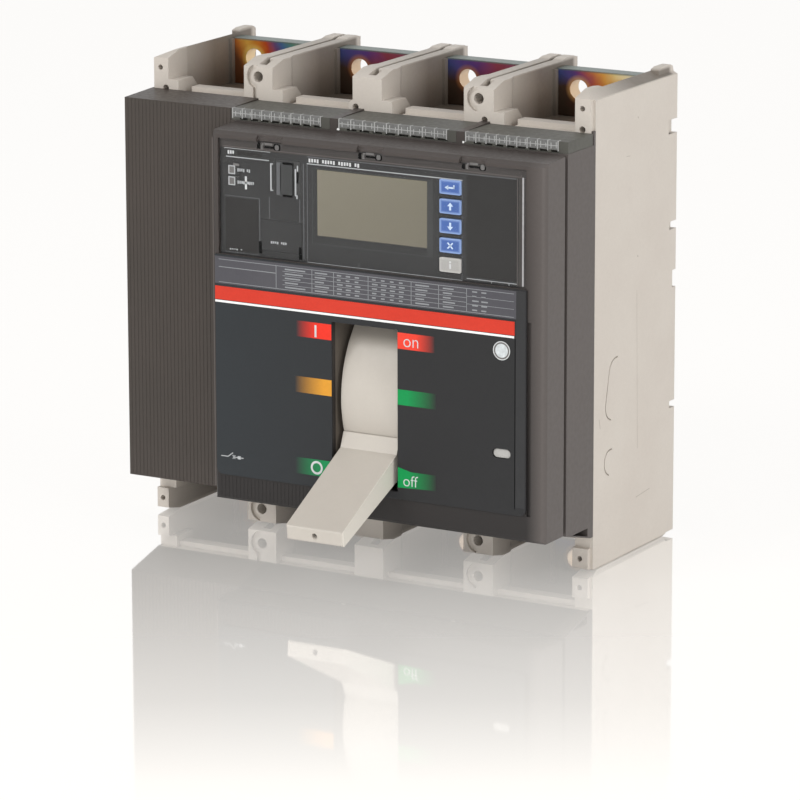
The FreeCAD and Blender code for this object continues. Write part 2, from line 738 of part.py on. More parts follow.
def side_cuts():
    """Grooves round the knock-outs in both side faces and the notches in their rear edges."""
    cuts = []
    radius = D.knockout_width / 2
    straight = D.knockout_length / 2 - radius
    y = -D.base_depth + D.knockout_inset
    z = lever_height + D.knockout_rise
    below = z - D.knockout_length / 2 - D.knockout_gap - D.knockout_radius
    for name, side in (("left", -1), ("right", 1)):
        outer = (half_width - D.knockout_depth, half_width + D.beyond)
        x = outer if side > 0 else (-outer[1], -outer[0])
        cuts.append(knockout_groove(
            "knockout_oval_" + name, x, knockout_oval("oval_outer_" + name, x, radius, straight),
            knockout_oval("oval_inner_" + name, x, radius - D.knockout_groove, straight), (y, z),
        ))
        cuts.append(knockout_groove(
            "knockout_round_" + name, x, rod("round_outer_" + name, D.knockout_radius, x, 0, 0),
            rod("round_inner_" + name, D.knockout_radius - D.knockout_groove, x, 0, 0),
            (y - D.knockout_shift, below),
        ))
        shallow = (half_width - D.notch_width, half_width + D.beyond)
        wide = shallow if side > 0 else (-shallow[1], -shallow[0])
        for index, (low, high, deep) in enumerate(NOTCHES):
            span = (half_height * low, half_height * high)
            cuts.append(block("notch_" + name + str(index), wide, (-D.notch_depth * deep, D.beyond), span))
    return cuts


def chamber_cuts():
    """The pole chambers, the shaft openings between them and shallow recesses in the back."""
    cuts = []
    before = -D.base_depth - D.beyond
    for pole in POLES:
        x = chamber_span(pole)
        cuts.append(block("chamber_" + str(pole), x, (before, -D.rear_wall), (-chamber_end, chamber_end)))
        inset = D.rear_pocket_margin
        cuts.append(block(
            "back_recess_" + str(pole), (x[0] + inset, x[1] - inset), (-D.rear_pocket_depth, D.beyond),
            (-chamber_end + inset, chamber_end - inset),
        ))
    half = D.bearing_size / 2
    through = D.inner_wall / 2 + D.beyond
    for joint in range(1, len(POLES)):
        x = joint_x(joint)
        cuts.append(block(
            "shaft_opening_" + str(joint), (x - through, x + through),
            (before, -D.shaft_depth + half + D.slip_gap),
            (D.shaft_height - half - D.slip_gap, D.shaft_height + half + D.slip_gap),
        ))
    trip_half = D.trip_radius + D.running_gap
    x = joint_x(LEVER_POLE + 1)
    cuts.append(block(
        "trip_opening", (x - through, x + through), (before, -trip_depth + trip_half),
        (trip_height - trip_half, trip_height + trip_half),
    ))
    cuts.append(rod(
        "trip_socket", trip_half, (half_width - D.outer_wall - D.beyond, half_width - D.outer_wall / 2),
        -trip_depth, trip_height,
    ))
    for name, x, z in screw_places():
        cuts.append(rod(
            "screw_hole_" + name, D.screw_radius + D.slip_gap, x,
            (before, -D.base_depth + D.screw_length), z,
        ))
    return cuts


def screw_places():
    """Where the middle cover is screwed to the walls between the poles, all under the front cover."""
    heights = (
        ("high", chamber_end - D.screw_inset), ("middle", D.frame_top + D.screw_rise),
        ("low", -(chamber_end + D.end_wall / 2)),
    )
    joints = (LEVER_POLE, LEVER_POLE + 1)
    return [(name + str(joint), joint_x(joint), z) for joint in joints for name, z in heights]


def base():
    bays = []
    slopes = []
    ribs = []
    for end_name, end in ENDS:
        slopes.append(nose_cut(end_name, end))
        slopes += barrier_slots(end_name, end)
        for pole in POLES:
            bays += bay_cuts(pole, end_name, end)
            ribs += bar_ribs(pole, end_name, end)
    tub = cut("base_chambers", base_block(), chamber_cuts())
    open_tub = cut("base_bays", tub, bays)
    sloped = cut("base_slopes", open_tub, slopes)
    marked = cut("base_sides", sloped, side_cuts() + rim_cuts())
    ribbed = fused("base_ribbed", [marked, hole_boss()] + bay_feet() + load_webs() + ribs)
    piece("base", cut("base", ribbed, panel_screw_cuts() + cover_hole_cuts()))


# Current path: terminals, contacts, chutes and sensors


def terminal(pole, end_name, end):
    """A flat plated bar with two cable holes and a narrower tail that enters the chamber."""
    x = pole_x(pole)
    top = wall_top - D.bar_end_gap
    tail_end = line_tail_end if end > 0 else load_tail_end
    shoulder = bay_floor + D.slip_gap
    wide = bar_width / 2
    narrow = D.bar_tail_width / 2
    points = (
        (x - wide, top * end), (x + wide, top * end), (x + wide, shoulder * end),
        (x + narrow, shoulder * end), (x + narrow, tail_end * end), (x - narrow, tail_end * end),
        (x - narrow, shoulder * end), (x - wide, shoulder * end),
    )
    hole_z = (top - D.bar_hole_edge) * end
    half = D.bar_hole_spacing / 2
    holes = (((x - half, hole_z), D.bar_hole_radius), ((x + half, hole_z), D.bar_hole_radius))
    name = end_name + "_terminal_" + str(pole + 1)
    piece(name, padded(name, "XZ_Plane", (bar_rear, D.bar_front), (points,), holes))


def fixed_contacts():
    """A silver pad on the front of each line terminal's tail."""
    pads = []
    for pole in POLES:
        x = pole_x(pole)
        half = D.fixed_pad_width / 2
        z = line_tail_end + D.slip_gap
        pads.append(block(
            "fixed_pad_" + str(pole), (x - half, x + half),
            (-D.bar_front - D.fixed_pad_thickness, -D.bar_front), (z, z + D.fixed_pad_height),
        ))
    piece("fixed_contacts", group("fixed_contacts", pads))


def chute_half():
    """Half the width of an arc chute, which fits between the chamber walls."""
    return pole_pitch / 2 - D.inner_wall / 2 - D.slip_gap


def arc_chute(pole):
    """Notched steel plates held between two insulating side boards."""
    x = pole_x(pole)
    half = chute_half()
    top = chamber_end - D.slip_gap
    inner = half - D.chute_wall
    notch = D.plate_notch / 2
    tight = D.notch_throat / 2
    name = "arc_chute_" + str(pole + 1)
    body = padded("plates_" + str(pole), "XZ_Plane", (
        D.chute_rear + D.plate_thickness, D.chute_rear + 2 * D.plate_thickness
    ), (
        (
            (x - inner, chute_bottom), (x - notch, chute_bottom), (x - tight, (chamber_end - D.notch_inset)),
            (x + tight, (chamber_end - D.notch_inset)), (x + notch, chute_bottom), (x + inner, chute_bottom),
            (x + inner, top), (x - inner, top),
        ),
    ))
    plates = body.newObject("PartDesign::LinearPattern", name + "_plates")
    plates.Originals = [body.Group[1]]
    plates.Direction = (body.Group[0], ["N_Axis"])
    plates.Mode = "Spacing"
    bind(plates, "Offset", plate_pitch)
    bind(plates, "Occurrences", D.plate_count)
    body.Tip = plates
    boards = [
        block("board_" + side + str(pole), wide, (-chute_front, -D.chute_rear), (chute_bottom, top))
        for side, wide in (("left", (x - half, x - inner)), ("right", (x + inner, x + half)))
    ]
    piece(name, fused(name + "_stack", [body] + boards))


def current_sensor(pole):
    """A square ring around the load terminal's tail."""
    x = pole_x(pole)
    half = chute_half()
    window = D.sensor_window / 2
    middle = (D.bar_front + bar_rear) / 2
    deep = D.sensor_window_depth / 2
    low = -chamber_end + D.slip_gap
    name = "current_sensor_" + str(pole + 1)
    body = padded(name, "XY_Plane", (low, low + D.sensor_height), (
        rectangle((x - half, x + half), (-D.sensor_front, -D.rear_wall - D.slip_gap)),
        rectangle((x - window, x + window), (-middle - deep, -middle + deep)),
    ))
    rounded(body, D.plate_thickness, lambda edge: (
        straight_along(edge, Vector(0, 0, 1)) and on_outside(edge, body)
    ))
    piece(name, body)


def on_outside(edge, body):
    """True for an edge at the left or right end of a body's box."""
    box = body.Shape.BoundBox
    x = edge.CenterOfMass.x
    return abs(x - box.XMin) < 1e-6 or abs(x - box.XMax) < 1e-6


def flexible_links():
    """The copper braids from the load terminals to the moving contacts."""
    braids = []
    for pole in POLES:
        x = pole_x(pole)
        half = D.braid_width / 2
        thick = D.braid_thickness
        top = D.shaft_height - D.braid_reach - D.contact_gap
        low = -load_tail_end + D.contact_gap
        rear = -D.bar_front + thick
        front = -D.shaft_depth
        bend = thick / 2
        braids.append(padded("braid_" + str(pole), "YZ_Plane", (x - half, x + half), (
            (
                (rear - thick, low), (rear, low), (rear, low + 2 * thick),
                (front + thick, top - 2 * thick + bend), (front + thick, top), (front, top),
                (front, top - 2 * thick), (rear - thick, low + 2 * thick - bend),
            ),
        )))
    piece("flexible_links", group("flexible_links", braids))


# Contact shaft, turned forward to its open position


def contact_shaft():
    """The moulded shaft across all poles, with a slotted arm holder in each."""
    reach = half_width - D.outer_wall - D.shaft_overhang
    shaft = rod("shaft_rod", D.shaft_radius, (-reach, reach), 0, 0)
    holders = []
    slots = []
    for pole in POLES:
        x = pole_x(pole)
        half = D.holder_width / 2
        deep = D.holder_thickness / 2
        holders.append(block(
            "holder_" + str(pole), (x - half, x + half), (-deep, deep), (-deep, D.holder_length)
        ))
        gap = D.slip_gap / 2
        slots.append(block(
            "arm_slot_" + str(pole), (x - D.arm_width / 2 - gap, x + D.arm_width / 2 + gap),
            (-D.arm_thickness / 2 - gap, D.arm_thickness / 2 + gap), (D.arm_root, D.holder_length + D.beyond),
        ))
    whole = cut("contact_shaft", fused("shaft_solid", [shaft] + holders), slots)
    piece("contact_shaft", swung(whole, D.shaft_depth, D.shaft_height, D.open_angle))


def contact_arm(pole):
    """A copper arm with a silver pad at its end, seated in the shaft's holder."""
    x = pole_x(pole)
    half = D.arm_thickness / 2
    face = D.shaft_depth - D.bar_front - D.fixed_pad_thickness - D.contact_gap
    pad_low = arm_length - D.fixed_pad_height
    name = "contact_arm_" + str(pole + 1)
    body = padded(name, "YZ_Plane", (x - D.arm_width / 2, x + D.arm_width / 2), (
        (
            (-half, D.arm_root), (half, D.arm_root), (half, pad_low), (face, pad_low),
            (face, arm_length), (half, arm_length), (-half, arm_length - half),
        ),
    ))
    piece(name, swung(body, D.shaft_depth, D.shaft_height, D.open_angle))


def shaft_bearings():
    """A block in each wall between the poles that carries the contact shaft."""
    half = D.bearing_size / 2
    blocks = []
    for joint in range(1, len(POLES)):
        x = joint_x(joint)
        wide = D.inner_wall / 2 - D.slip_gap
        blocks.append(padded("bearing_" + str(joint), "YZ_Plane", (x - wide, x + wide), (
            rectangle(
                (-D.shaft_depth - half, -D.shaft_depth + half), (D.shaft_height - half, D.shaft_height + half)
            ),
        ), (((-D.shaft_depth, D.shaft_height), D.shaft_radius + D.running_gap),)))
    piece("shaft_bearings", group("shaft_bearings", blocks))


# Lever and mechanism


def frame_x(side):
    """The span of the left or right mechanism plate, one each side of the lever."""
    gap = D.lever_width / 2 + 2 * D.running_gap + D.slip_gap
    if side < 0:
        return (lever_centre - gap - D.frame_plate, lever_centre - gap)
    return (lever_centre + gap, lever_centre + gap + D.frame_plate)


def mechanism_frame():
    """Two steel side plates joined by spacer rods; the shafts pass through them."""
    parts = []
    foot = -D.rear_wall
    for name, side in (("left", -1), ("right", 1)):
        parts.append(padded("frame_" + name, "YZ_Plane", frame_x(side), (
            (
                (foot, -frame_bottom), (-lever_depth, -frame_bottom),
                (-frame_front, lever_height - D.hub_radius), (-frame_front, lever_height + D.hub_radius),
                (-trip_depth + D.pin_radius, D.frame_top), (foot, D.frame_top),
            ),
        ), (
            ((-D.shaft_depth, D.shaft_height), D.shaft_radius + D.shaft_clearance),
            ((-lever_depth, lever_height), D.pin_radius + D.running_gap),
            ((-trip_depth, trip_height + 3 * D.hub_radius), D.trip_radius),
        )))
    span = (frame_x(-1)[1], frame_x(1)[0])
    for name, y, z in (
        ("low", -D.rear_wall - 2 * D.spacer_radius, -frame_bottom + 2 * D.spacer_radius),
        ("high", -D.rear_wall - 2 * D.spacer_radius, D.frame_top - 2 * D.spacer_radius),
    ):
        parts.append(rod("spacer_" + name, D.spacer_radius, span, y, z))
    piece("mechanism_frame", fused("mechanism_frame", parts))


def lever_pin():
    """The steel pin that the lever turns on."""
    span = (frame_x(-1)[0], frame_x(1)[1])
    piece("lever_pin", rod("lever_pin", D.pin_radius, span, -lever_depth, lever_height))


def ray(angle, reach):
    """A point on the ray from the lever axis at an angle above the front direction."""
    return (-reach * turned("cos", angle), reach * turned("sin", angle))


def drum():
    """The curved shutter that closes the slot at every position of the lever."""
    high = D.drum_margin_angle + D.lever_rest_angle
    low = D.lever_rest_angle - D.drum_margin_angle - D.lever_travel_angle
    inner = drum_radius - D.drum_wall
    cheeks = (lever_x[0] + D.cheek_wall, lever_x[1] - D.cheek_wall)
    reach = 2 * drum_radius
    wedge = padded("drum_wedge", "YZ_Plane", lever_x, (
        ((0, 0), ray(high, reach), (-reach, reach), (-reach, -reach), ray(low, reach)),
    ))
    disc = common("drum_disc", rod("drum_outer", drum_radius, lever_x, 0, 0), wedge)
    return cut("drum", disc, [rod("drum_inner", inner, cheeks, 0, 0)])


def handle():
    """The flat handle, tapered to its tip, with softened edges."""
    inner = drum_radius - D.drum_wall
    top = D.handle_top
    body = padded("handle", "YZ_Plane", lever_x, (
        (
            (-inner, top - D.root_overlap), (-drum_radius, top + D.knuckle_top), (-knuckle_reach, top),
            (-D.tip_reach, top), (-D.tip_reach - D.tip_rake, top - D.handle_tip),
            (-knuckle_reach, top - D.handle_root), (-inner, top - D.handle_root - D.root_overlap),
        ),
    ))
    rounded(body, D.handle_edge, lambda edge: edge.BoundBox.YMax < -number(knuckle_reach) - 1e-3)
    depth = (-D.tip_reach - D.tip_rake - D.beyond, -D.tip_reach + D.tip_hole_depth)
    hole = rod("tip_hole", D.tip_hole_radius, lever_centre, depth, top - D.handle_tip / 2)
    return cut("handle_drilled", body, [hole])


def lever():
    through = (lever_x[0] - D.beyond, lever_x[1] + D.beyond)
    bore = rod("lever_bore", D.pin_radius + D.running_gap, through, 0, 0)
    hubs = []
    for name, x in (
        ("left", (lever_x[0], lever_x[0] + D.cheek_wall)), ("right", (lever_x[1] - D.cheek_wall, lever_x[1]))
    ):
        hubs.append(rod("hub_" + name, D.hub_radius, x, 0, 0))
    solid = fused("lever_solid", [drum(), handle()] + hubs)
    whole = cut("lever", solid, [bore])
    piece("lever", swung(whole, lever_depth, lever_height, D.lever_rest_angle))


def lever_yoke():
    """The steel fork between the cheeks that carries the lever's force to the mechanism."""
    gap = D.slip_gap / 2
    left = lever_x[0] + D.cheek_wall + gap
    right = lever_x[1] - D.cheek_wall - gap
    reach = drum_radius - D.drum_wall - D.slip_gap - D.shaft_clearance
    half = D.yoke_width / 2
    low = -half
    parts = []
    for name, x in (("left", (left, left + D.yoke_wall)), ("right", (right - D.yoke_wall, right))):
        parts.append(block("yoke_arm_" + name, x, (-reach, D.hub_radius), (low, half)))
    parts.append(block("yoke_bridge", (left, right), (-reach, -reach + D.yoke_wall), (low, half)))
    bore = rod("yoke_bore", D.pin_radius + D.running_gap, (left - D.beyond, right + D.beyond), 0, 0)
    whole = cut("lever_yoke", fused("yoke_solid", parts), [bore])
    piece("lever_yoke", swung(whole, lever_depth, lever_height, D.lever_rest_angle))


# Trip shaft, push button and release coil


def paddle_x():
    return (button_x - D.paddle_width / 2, button_x + D.paddle_width / 2)


def trip_shaft():
    """The thin shaft right of the lever, with the paddle that the button strikes."""
    start = frame_x(1)[1] + D.slip_gap
    end = half_width - D.outer_wall / 2 - D.slip_gap
    parts = [
        rod("trip_rod", D.trip_radius, (start, end), -trip_depth, trip_height),
        block(
            "trip_paddle", paddle_x(), (-trip_depth - D.paddle_thickness, -trip_depth),
            (trip_height - D.paddle_length, trip_height),
        ),
    ]
    piece("trip_shaft", fused("trip_shaft", parts))


def oval(name, length, height, y):
    """A bar with round ends, lying along X, about the button's axis."""
    radius = height / 2
    straight = length / 2 - radius
    x = (button_x - straight, button_x + straight)
    z = (button_z - radius, button_z + radius)
    return fused(name, [
        block(name + "_middle", x, y, z),
        rod(name + "_left", radius, x[0], y, button_z),
        rod(name + "_right", radius, x[1], y, button_z),
    ])


def trip_button():
    """The oval push button and the rod behind it that reaches the trip paddle."""
    front = -front_depth
    rear = -trip_depth - D.paddle_thickness - D.contact_gap
    cap = oval("button_cap", D.button_length, D.button_height, (front, front + D.button_cap))
    back = front + D.front_wall + D.contact_gap
    over = 2 * D.button_flange
    parts = [
        cap,
        rod("button_rod", D.button_rod, button_x, (front + D.button_cap / 2, rear), button_z),
        oval(
            "button_flange", D.button_length + over, D.button_height + over, (back, back + D.flange_thickness)
        ),
    ]
    piece("trip_button", fused("trip_button", parts))


def release_coil():
    """The release coil that turns the trip shaft, held behind the middle cover."""
    front = mid_depth - D.cover_wall - D.slip_gap
    wall_face = joint_x(LEVER_POLE + 1) + D.inner_wall / 2
    x = (wall_face + D.slip_gap, wall_face + D.coil_width)
    z = (D.coil_bottom, D.coil_bottom + D.coil_height)
    y = (-front, -front + D.coil_depth)
    middle = (x[0] + x[1]) / 2
    plunger = rod(
        "coil_plunger", D.trip_radius, middle, (y[1] - D.beyond, y[1] + D.plunger_length), (z[0] + z[1]) / 2
    )
    piece("release_coil", fused("release_coil", [block("coil_body", x, y, z), plunger]))


# Middle cover


def cover_skirts():
    """The strips at both sides of the middle cover that lap over the base's rim."""
    inner = half_width - D.lap_width + D.cover_gap / 2
    y = (-D.base_depth, -D.base_depth + D.lap_depth - D.cover_gap / 2)
    z = (-mid_bottom, mid_top)
    return [
        block("skirt_left", (-half_width, -inner), y, z), block("skirt_right", (inner, half_width), y, z),
    ]


def cable_gap():
    """The three-sided opening for small cables at the lower end of the cover's right side."""
    rear = -D.base_depth - D.cable_gap_rear
    top = -mid_front_bottom - D.cable_gap_drop
    low = -mid_bottom + D.mid_load_slope * D.cable_gap_rear / D.mid_rise + D.cable_gap_rim
    return padded("cable_gap", "YZ_Plane", (half_width - D.cable_gap_depth, half_width + D.beyond), (
        ((-mid_depth + D.cable_gap_front, top), (rear, top), (rear, low)),
    ))


def mid_cover_openings():
    """The seats of the auxiliary terminals and the openings under the front cover."""
    before = -mid_depth - D.beyond
    whole = (before, -D.base_depth)
    cuts = [
        block(
            "rail_seat_" + str(index), (left, right), (before, -D.base_depth + D.beyond),
            (mid_top - D.rail_height, mid_top + D.beyond),
        )
        for index, (left, right) in enumerate(aux_spans)
    ]
    half = drum_radius - D.drum_hole_edge
    cuts.append(block(
        "drum_opening", (slot_x[0] + D.shaft_clearance, slot_x[1] - D.shaft_clearance), whole,
        (lever_height - half, lever_height + half),
    ))
    cuts.append(rod("button_rod_hole", D.button_height / 2, button_x, whole, button_z))
    cuts.append(block("unit_cable_hole", plug_x, whole, (level("plug_bottom"), level("plug_top"))))
    cuts.append(cable_gap())
    return cuts


def mid_cover():
    """The dark cover over all poles; its left part is the ribbed front of the neutral pole."""
    x = (-half_width, half_width)
    profile = (
        (-D.base_depth, -mid_bottom), (-mid_depth, -mid_front_bottom),
        (-mid_depth, mid_front_top), (-D.base_depth, mid_top),
    )
    body = padded("mid_shell", "YZ_Plane", x, (profile,))
    first = -half_width + D.rib_margin
    groove = pocketed(body, "XZ_Plane", (mid_depth - D.rib_groove_depth, mid_depth), (
        rectangle((first, first + D.rib_groove), (-mid_front_bottom - D.beyond, mid_front_top + D.beyond)),
    ))
    ribs = body.newObject("PartDesign::LinearPattern", "mid_ribs")
    ribs.Originals = [groove]
    ribs.Direction = (groove.Profile[0], ["H_Axis"])
    ribs.Mode = "Spacing"
    bind(ribs, "Offset", D.rib_pitch)
    ribs.Occurrences = int(number(cover_left - first) / number(D.rib_pitch))
    body.Tip = ribs
    wall = D.cover_wall
    rear = -D.base_depth + D.beyond
    inner = padded("mid_inner", "YZ_Plane", (x[0] + wall, x[1] - wall), (
        (
            (rear, -mid_bottom + wall), (-mid_depth + wall, -mid_front_bottom + wall),
            (-mid_depth + wall, mid_front_top - wall - D.rail_height), (rear, mid_top - wall - D.rail_height),
        ),
    ))
    screws = []
    posts = []
    for name, px, pz in screw_places():
        screws.append(rod(
            "mid_screw_hole_" + name, D.screw_radius + D.slip_gap, px, (-mid_depth - D.beyond, rear), pz
        ))
        screws.append(rod(
            "mid_screw_seat_" + name, D.screw_head_radius + D.slip_gap, px,
            (-mid_depth - D.beyond, -mid_depth + D.screw_head + D.slip_gap), pz,
        ))
        post_half = D.screw_head_radius + D.screw_post_wall
        posts.append(block(
            "mid_post_" + name, (px - post_half, px + post_half),
            (-mid_depth + D.post_overlap, -D.base_depth), (pz - post_half, pz + post_half),
        ))
    hollow = cut("mid_hollow", body, [inner])
    within = common("mid_posts", fused("mid_post_set", posts), padded("mid_limit", "YZ_Plane", x, (profile,)))
    solid = fused("mid_solid", [hollow, within] + cover_skirts())
    piece("mid_cover", cut("mid_cover", solid, mid_cover_openings() + screws))


def cover_screws():
    """The screws that hold the middle cover to the base."""
    screws = []
    for name, x, z in screw_places():
        head = (-mid_depth, -mid_depth + D.screw_head)
        screws.append(fused("cover_screw_" + name, [
            rod("screw_head_" + name, D.screw_head_radius, x, head, z),
            rod(
                "screw_shank_" + name, D.screw_radius, x,
                (head[1] - D.beyond, -D.base_depth + D.screw_length - D.beyond), z,
            ),
        ]))
    piece("cover_screws", group("cover_screws", screws))


def aux_terminal(index, left, right):
    """A row of small auxiliary terminals on the shelf at the top of the middle cover."""
    low = mid_top - D.rail_height + D.cover_gap / 2
    name = "aux_terminals_" + str(index + 1)
    gap = D.cover_gap / 2
    body = block(
        name + "_body", (left + gap, right - gap), (-mid_depth, -D.base_depth - D.cover_gap),
        (low, mid_front_top),
    )
    pitch = (right - left - 2 * D.aux_margin) / D.aux_ways
    deep = (-mid_depth - D.beyond, -mid_depth + D.aux_way_depth)
    tall = (low + D.aux_way_rise, low + D.aux_way_rise + D.aux_way_height)
    cuts = []
    for way in range(int(number(D.aux_ways))):
        start = left + D.aux_margin + pitch * way + D.aux_way_edge
        cuts.append(block(name + "_way_" + str(way), (start, start + pitch - 2 * D.aux_way_edge), deep, tall))
    piece(name, cut(name, body, cuts))


# Front cover


def front_profile(inset):
    """The front cover's section: flat front, bevelled top edge and sloping top."""
    bevel = D.front_bevel
    return (
        (-mid_depth - D.cover_gap / 2, -front_bottom + inset),
        (-front_depth + bevel / 2 + inset, -front_bottom + inset),
        (-front_depth + inset, -front_bottom + bevel / 2 + inset),
        (-front_depth + inset, front_top - inset),
        (-front_depth + bevel + inset, front_top + D.bevel_drop - inset),
        (-mid_depth - D.cover_gap / 2, front_rear_top - inset),
    )


def front_cover():
    """The raised front cover with its lever slot and the window of the trip unit."""
    x = (cover_left, half_width)
    outer = padded("front_shell", "YZ_Plane", x, (front_profile(0),))
    rounded(outer, D.front_bevel, lambda edge: (
        straight_along(edge, Vector(0, 0, 1)) and edge.BoundBox.YMax < -number(front_depth) + 1e-3
    ))
    wall = D.front_wall
    points = front_profile(wall)
    behind = -mid_depth + D.beyond
    open_points = ((behind, points[0][1]),) + points[1:-1] + ((behind, points[-1][1]),)
    inner = padded("front_inner", "YZ_Plane", (x[0] + wall, x[1] - wall), (open_points,))
    before = -front_depth - D.beyond
    deep = (before, -front_depth + 2 * wall)
    window = block("unit_window", (window_left, window_right), deep, (window_z[0], window_z[1]))
    slot = block("lever_slot", slot_x, deep, slot_z)
    button = oval(
        "button_opening", D.button_length + 2 * D.button_gap, D.button_height + 2 * D.button_gap, deep
    )
    rebate = block(
        "side_groove", (half_width - D.groove_depth, half_width + D.beyond),
        (-mid_depth - D.groove_width, behind), (-front_bottom - D.beyond, front_rear_top + D.beyond),
    )
    border = block(
        "border_groove", (plate_right, plate_right + D.border_groove),
        (before, -front_depth + D.border_groove_depth), (plate_bottom, stripe_z[1]),
    )
    ribs = [
        block(
            "foot_groove_" + str(index),
            (plate_left + D.rib_pitch * index, plate_left + D.rib_pitch * index + D.rib_groove),
            (before, -front_depth + D.rib_groove_depth), (-front_bottom - D.beyond, plate_bottom - D.beyond),
        )
        for index in range(int(number(slot_x[0] - plate_left) / number(D.rib_pitch)) + 1)
    ]
    pockets = []
    for index, middle in enumerate(hinge_places):
        half = D.hinge_width / 2 + D.hinge_side_gap
        pockets.append(block(
            "hinge_pocket_" + str(index), (middle - half, middle + half),
            (before, -hinge_depth + D.hinge_radius + D.lid_gap),
            (window_z[1] - D.beyond, hinge_z + D.hinge_radius + D.lid_gap),
        ))
    cuts = [inner, window, slot, button, rebate, border] + ribs + pockets
    piece("front_cover", cut("front_cover", outer, cuts))


def front_plate():
    """The flat printed plate around the lever, inlaid for the stripe and the label."""
    span = (front_depth, body_depth)
    body = padded("plate_sheet", "XZ_Plane", span, (
        rectangle((plate_left, plate_right), (plate_bottom, plate_top)),
        rectangle(slot_x, slot_z),
    ))
    rounded(body, D.plate_corner, lambda edge: (
        straight_along(edge, Vector(0, 1, 0)) and on_outside(edge, body) and edge.CenterOfMass.z < 0
    ))
    before = -body_depth - D.beyond
    inlay = (before, -body_depth + D.inlay_depth)
    outside = plate_left - D.beyond
    cuts = [
        block("stripe_seat", (outside, stripe_right), inlay, stripe_z),
        block("label_seat", (outside, plate_right - D.label_end), inlay, label_z),
        rod("mark_seat", D.mark_radius, button_x, inlay, level("mark")),
        oval(
            "plate_button_opening", D.button_length + 2 * D.button_gap, D.button_height + 2 * D.button_gap,
            (before, -front_depth + D.beyond),
        ),
    ]
    piece("front_plate", cut("front_plate", body, cuts))


def plate_inlays():
    """The coloured stripe, the rating label and the round mark set into the plate."""
    y = (-body_depth, -body_depth + D.inlay_depth)
    gap = D.inlay_gap
    piece("accent_stripe", block(
        "accent_stripe", (plate_left, stripe_right - gap), y, (stripe_z[0] + gap, stripe_z[1] - gap)
    ))
    piece("rating_label", block(
        "rating_label", (plate_left, plate_right - D.label_end - gap), y, (label_z[0] + gap, label_z[1] - gap)
    ))
    piece("round_mark", rod("round_mark", D.mark_radius - gap, button_x, y, level("mark")))


# Trip unit behind the clear cover


def key_z(index):
    """The middle height of a key, counted from the top."""
    return level("key_top") - key_height / 2 - key_pitch * index


def unit_fascia():
    """The panel behind the clear cover, with openings for everything that shows through."""
    over = D.fascia_overlap
    back = front_depth - D.front_wall
    flange = block(
        "fascia_flange", (cover_left + D.front_wall + D.slip_gap, window_right + over),
        (-back, -back + D.fascia_thickness), (window_z[0] - over, front_top - D.front_wall - D.cover_gap),
    )
    gap = D.cover_gap
    face = block(
        "fascia_face", (window_left + gap, window_right - gap), (-fascia_front, -back + D.beyond),
        (window_z[0] + gap, window_z[1] - gap),
    )
    deep = (-fascia_front - D.beyond, -back + D.fascia_thickness + D.beyond)
    cuts = [
        block(name + "_opening", x, deep, (level(name + "_bottom"), level(name + "_top")))
        for name, x in (("display", display_x), ("connector", connector_x), ("plug", plug_x))
    ]
    for index in range(len(KEYS)):
        z = key_z(index)
        half = key_height / 2 + D.key_gap
        wide = (key_x[0] - D.key_gap, key_x[1] + D.key_gap)
        cuts.append(block("key_opening_" + str(index), wide, deep, (z - half, z + half)))
    for index in range(int(number(D.lens_count))):
        z = level("lens_top") - D.lens_pitch * index
        half = D.lens_size / 2
        wide = (lens_x - half, lens_x + half)
        cuts.append(block("lens_opening_" + str(index), wide, deep, (z - half, z + half)))
    piece("unit_fascia", cut("unit_fascia", fused("fascia_solid", [flange, face]), cuts))


def unit_housing():
    """The closed box of electronics behind the fascia."""
    back = fascia_back
    step = unit_step
    y = (-back + step + D.board_thickness, -back + D.unit_depth)
    x = (window_left + D.unit_margin, window_right - D.unit_margin)
    z = (window_z[0] + D.unit_margin, window_z[1] - D.unit_margin)
    piece("unit_housing", block("unit_housing", x, y, z))
    board = block("unit_board", x, (-back + step, -back + step + D.board_thickness), z)
    piece("unit_board", board)


def display():
    """The display glass and its frame, set flush in the fascia."""
    gap = D.inlay_gap
    back = fascia_back
    step = unit_step
    piece("display", block(
        "display", (display_x[0] + gap, display_x[1] - gap), (-fascia_front, -back + step),
        (level("display_bottom") + gap, level("display_top") - gap),
    ))


def key(name, index):
    """A raised key with a wider foot that keeps it behind the fascia."""
    z = key_z(index)
    half = key_height / 2
    back = fascia_back
    body = padded(name + "_cap", "XZ_Plane", (back - D.key_gap, fascia_front + D.key_rise), (
        rectangle((key_x[0], key_x[1]), (z - half, z + half)),
    ))
    rounded(body, D.key_rise, lambda edge: straight_along(edge, Vector(0, 1, 0)))
    over = D.key_foot
    foot = block(
        name + "_foot", (key_x[0] - over, key_x[1] + over), (-back + D.slip_gap / 2, -back + D.key_flange),
        (z - half - over, z + half + over),
    )
    piece(name, fused(name, [body, foot]))


def socket_piece(name, x, z, count):
    """A dark socket with a row of slots, fitted in an opening of the fascia."""
    gap = D.inlay_gap
    back = fascia_back
    step = unit_step
    body = block(
        name + "_body", (x[0] + gap, x[1] - gap), (-fascia_front, -back + step), (z[0] + gap, z[1] - gap)
    )
    cuts = []
    pitch = (x[1] - x[0]) / count
    edge = (z[1] - z[0]) / 3
    deep = (-fascia_front - D.beyond, -fascia_front + D.slot_depth)
    for place in range(int(number(count))):
        start = x[0] + pitch * place + pitch / 4
        cuts.append(block(
            name + "_slot_" + str(place), (start, start + pitch / 2), deep, (z[0] + edge, z[1] - edge)
        ))
    piece(name, cut(name, body, cuts))


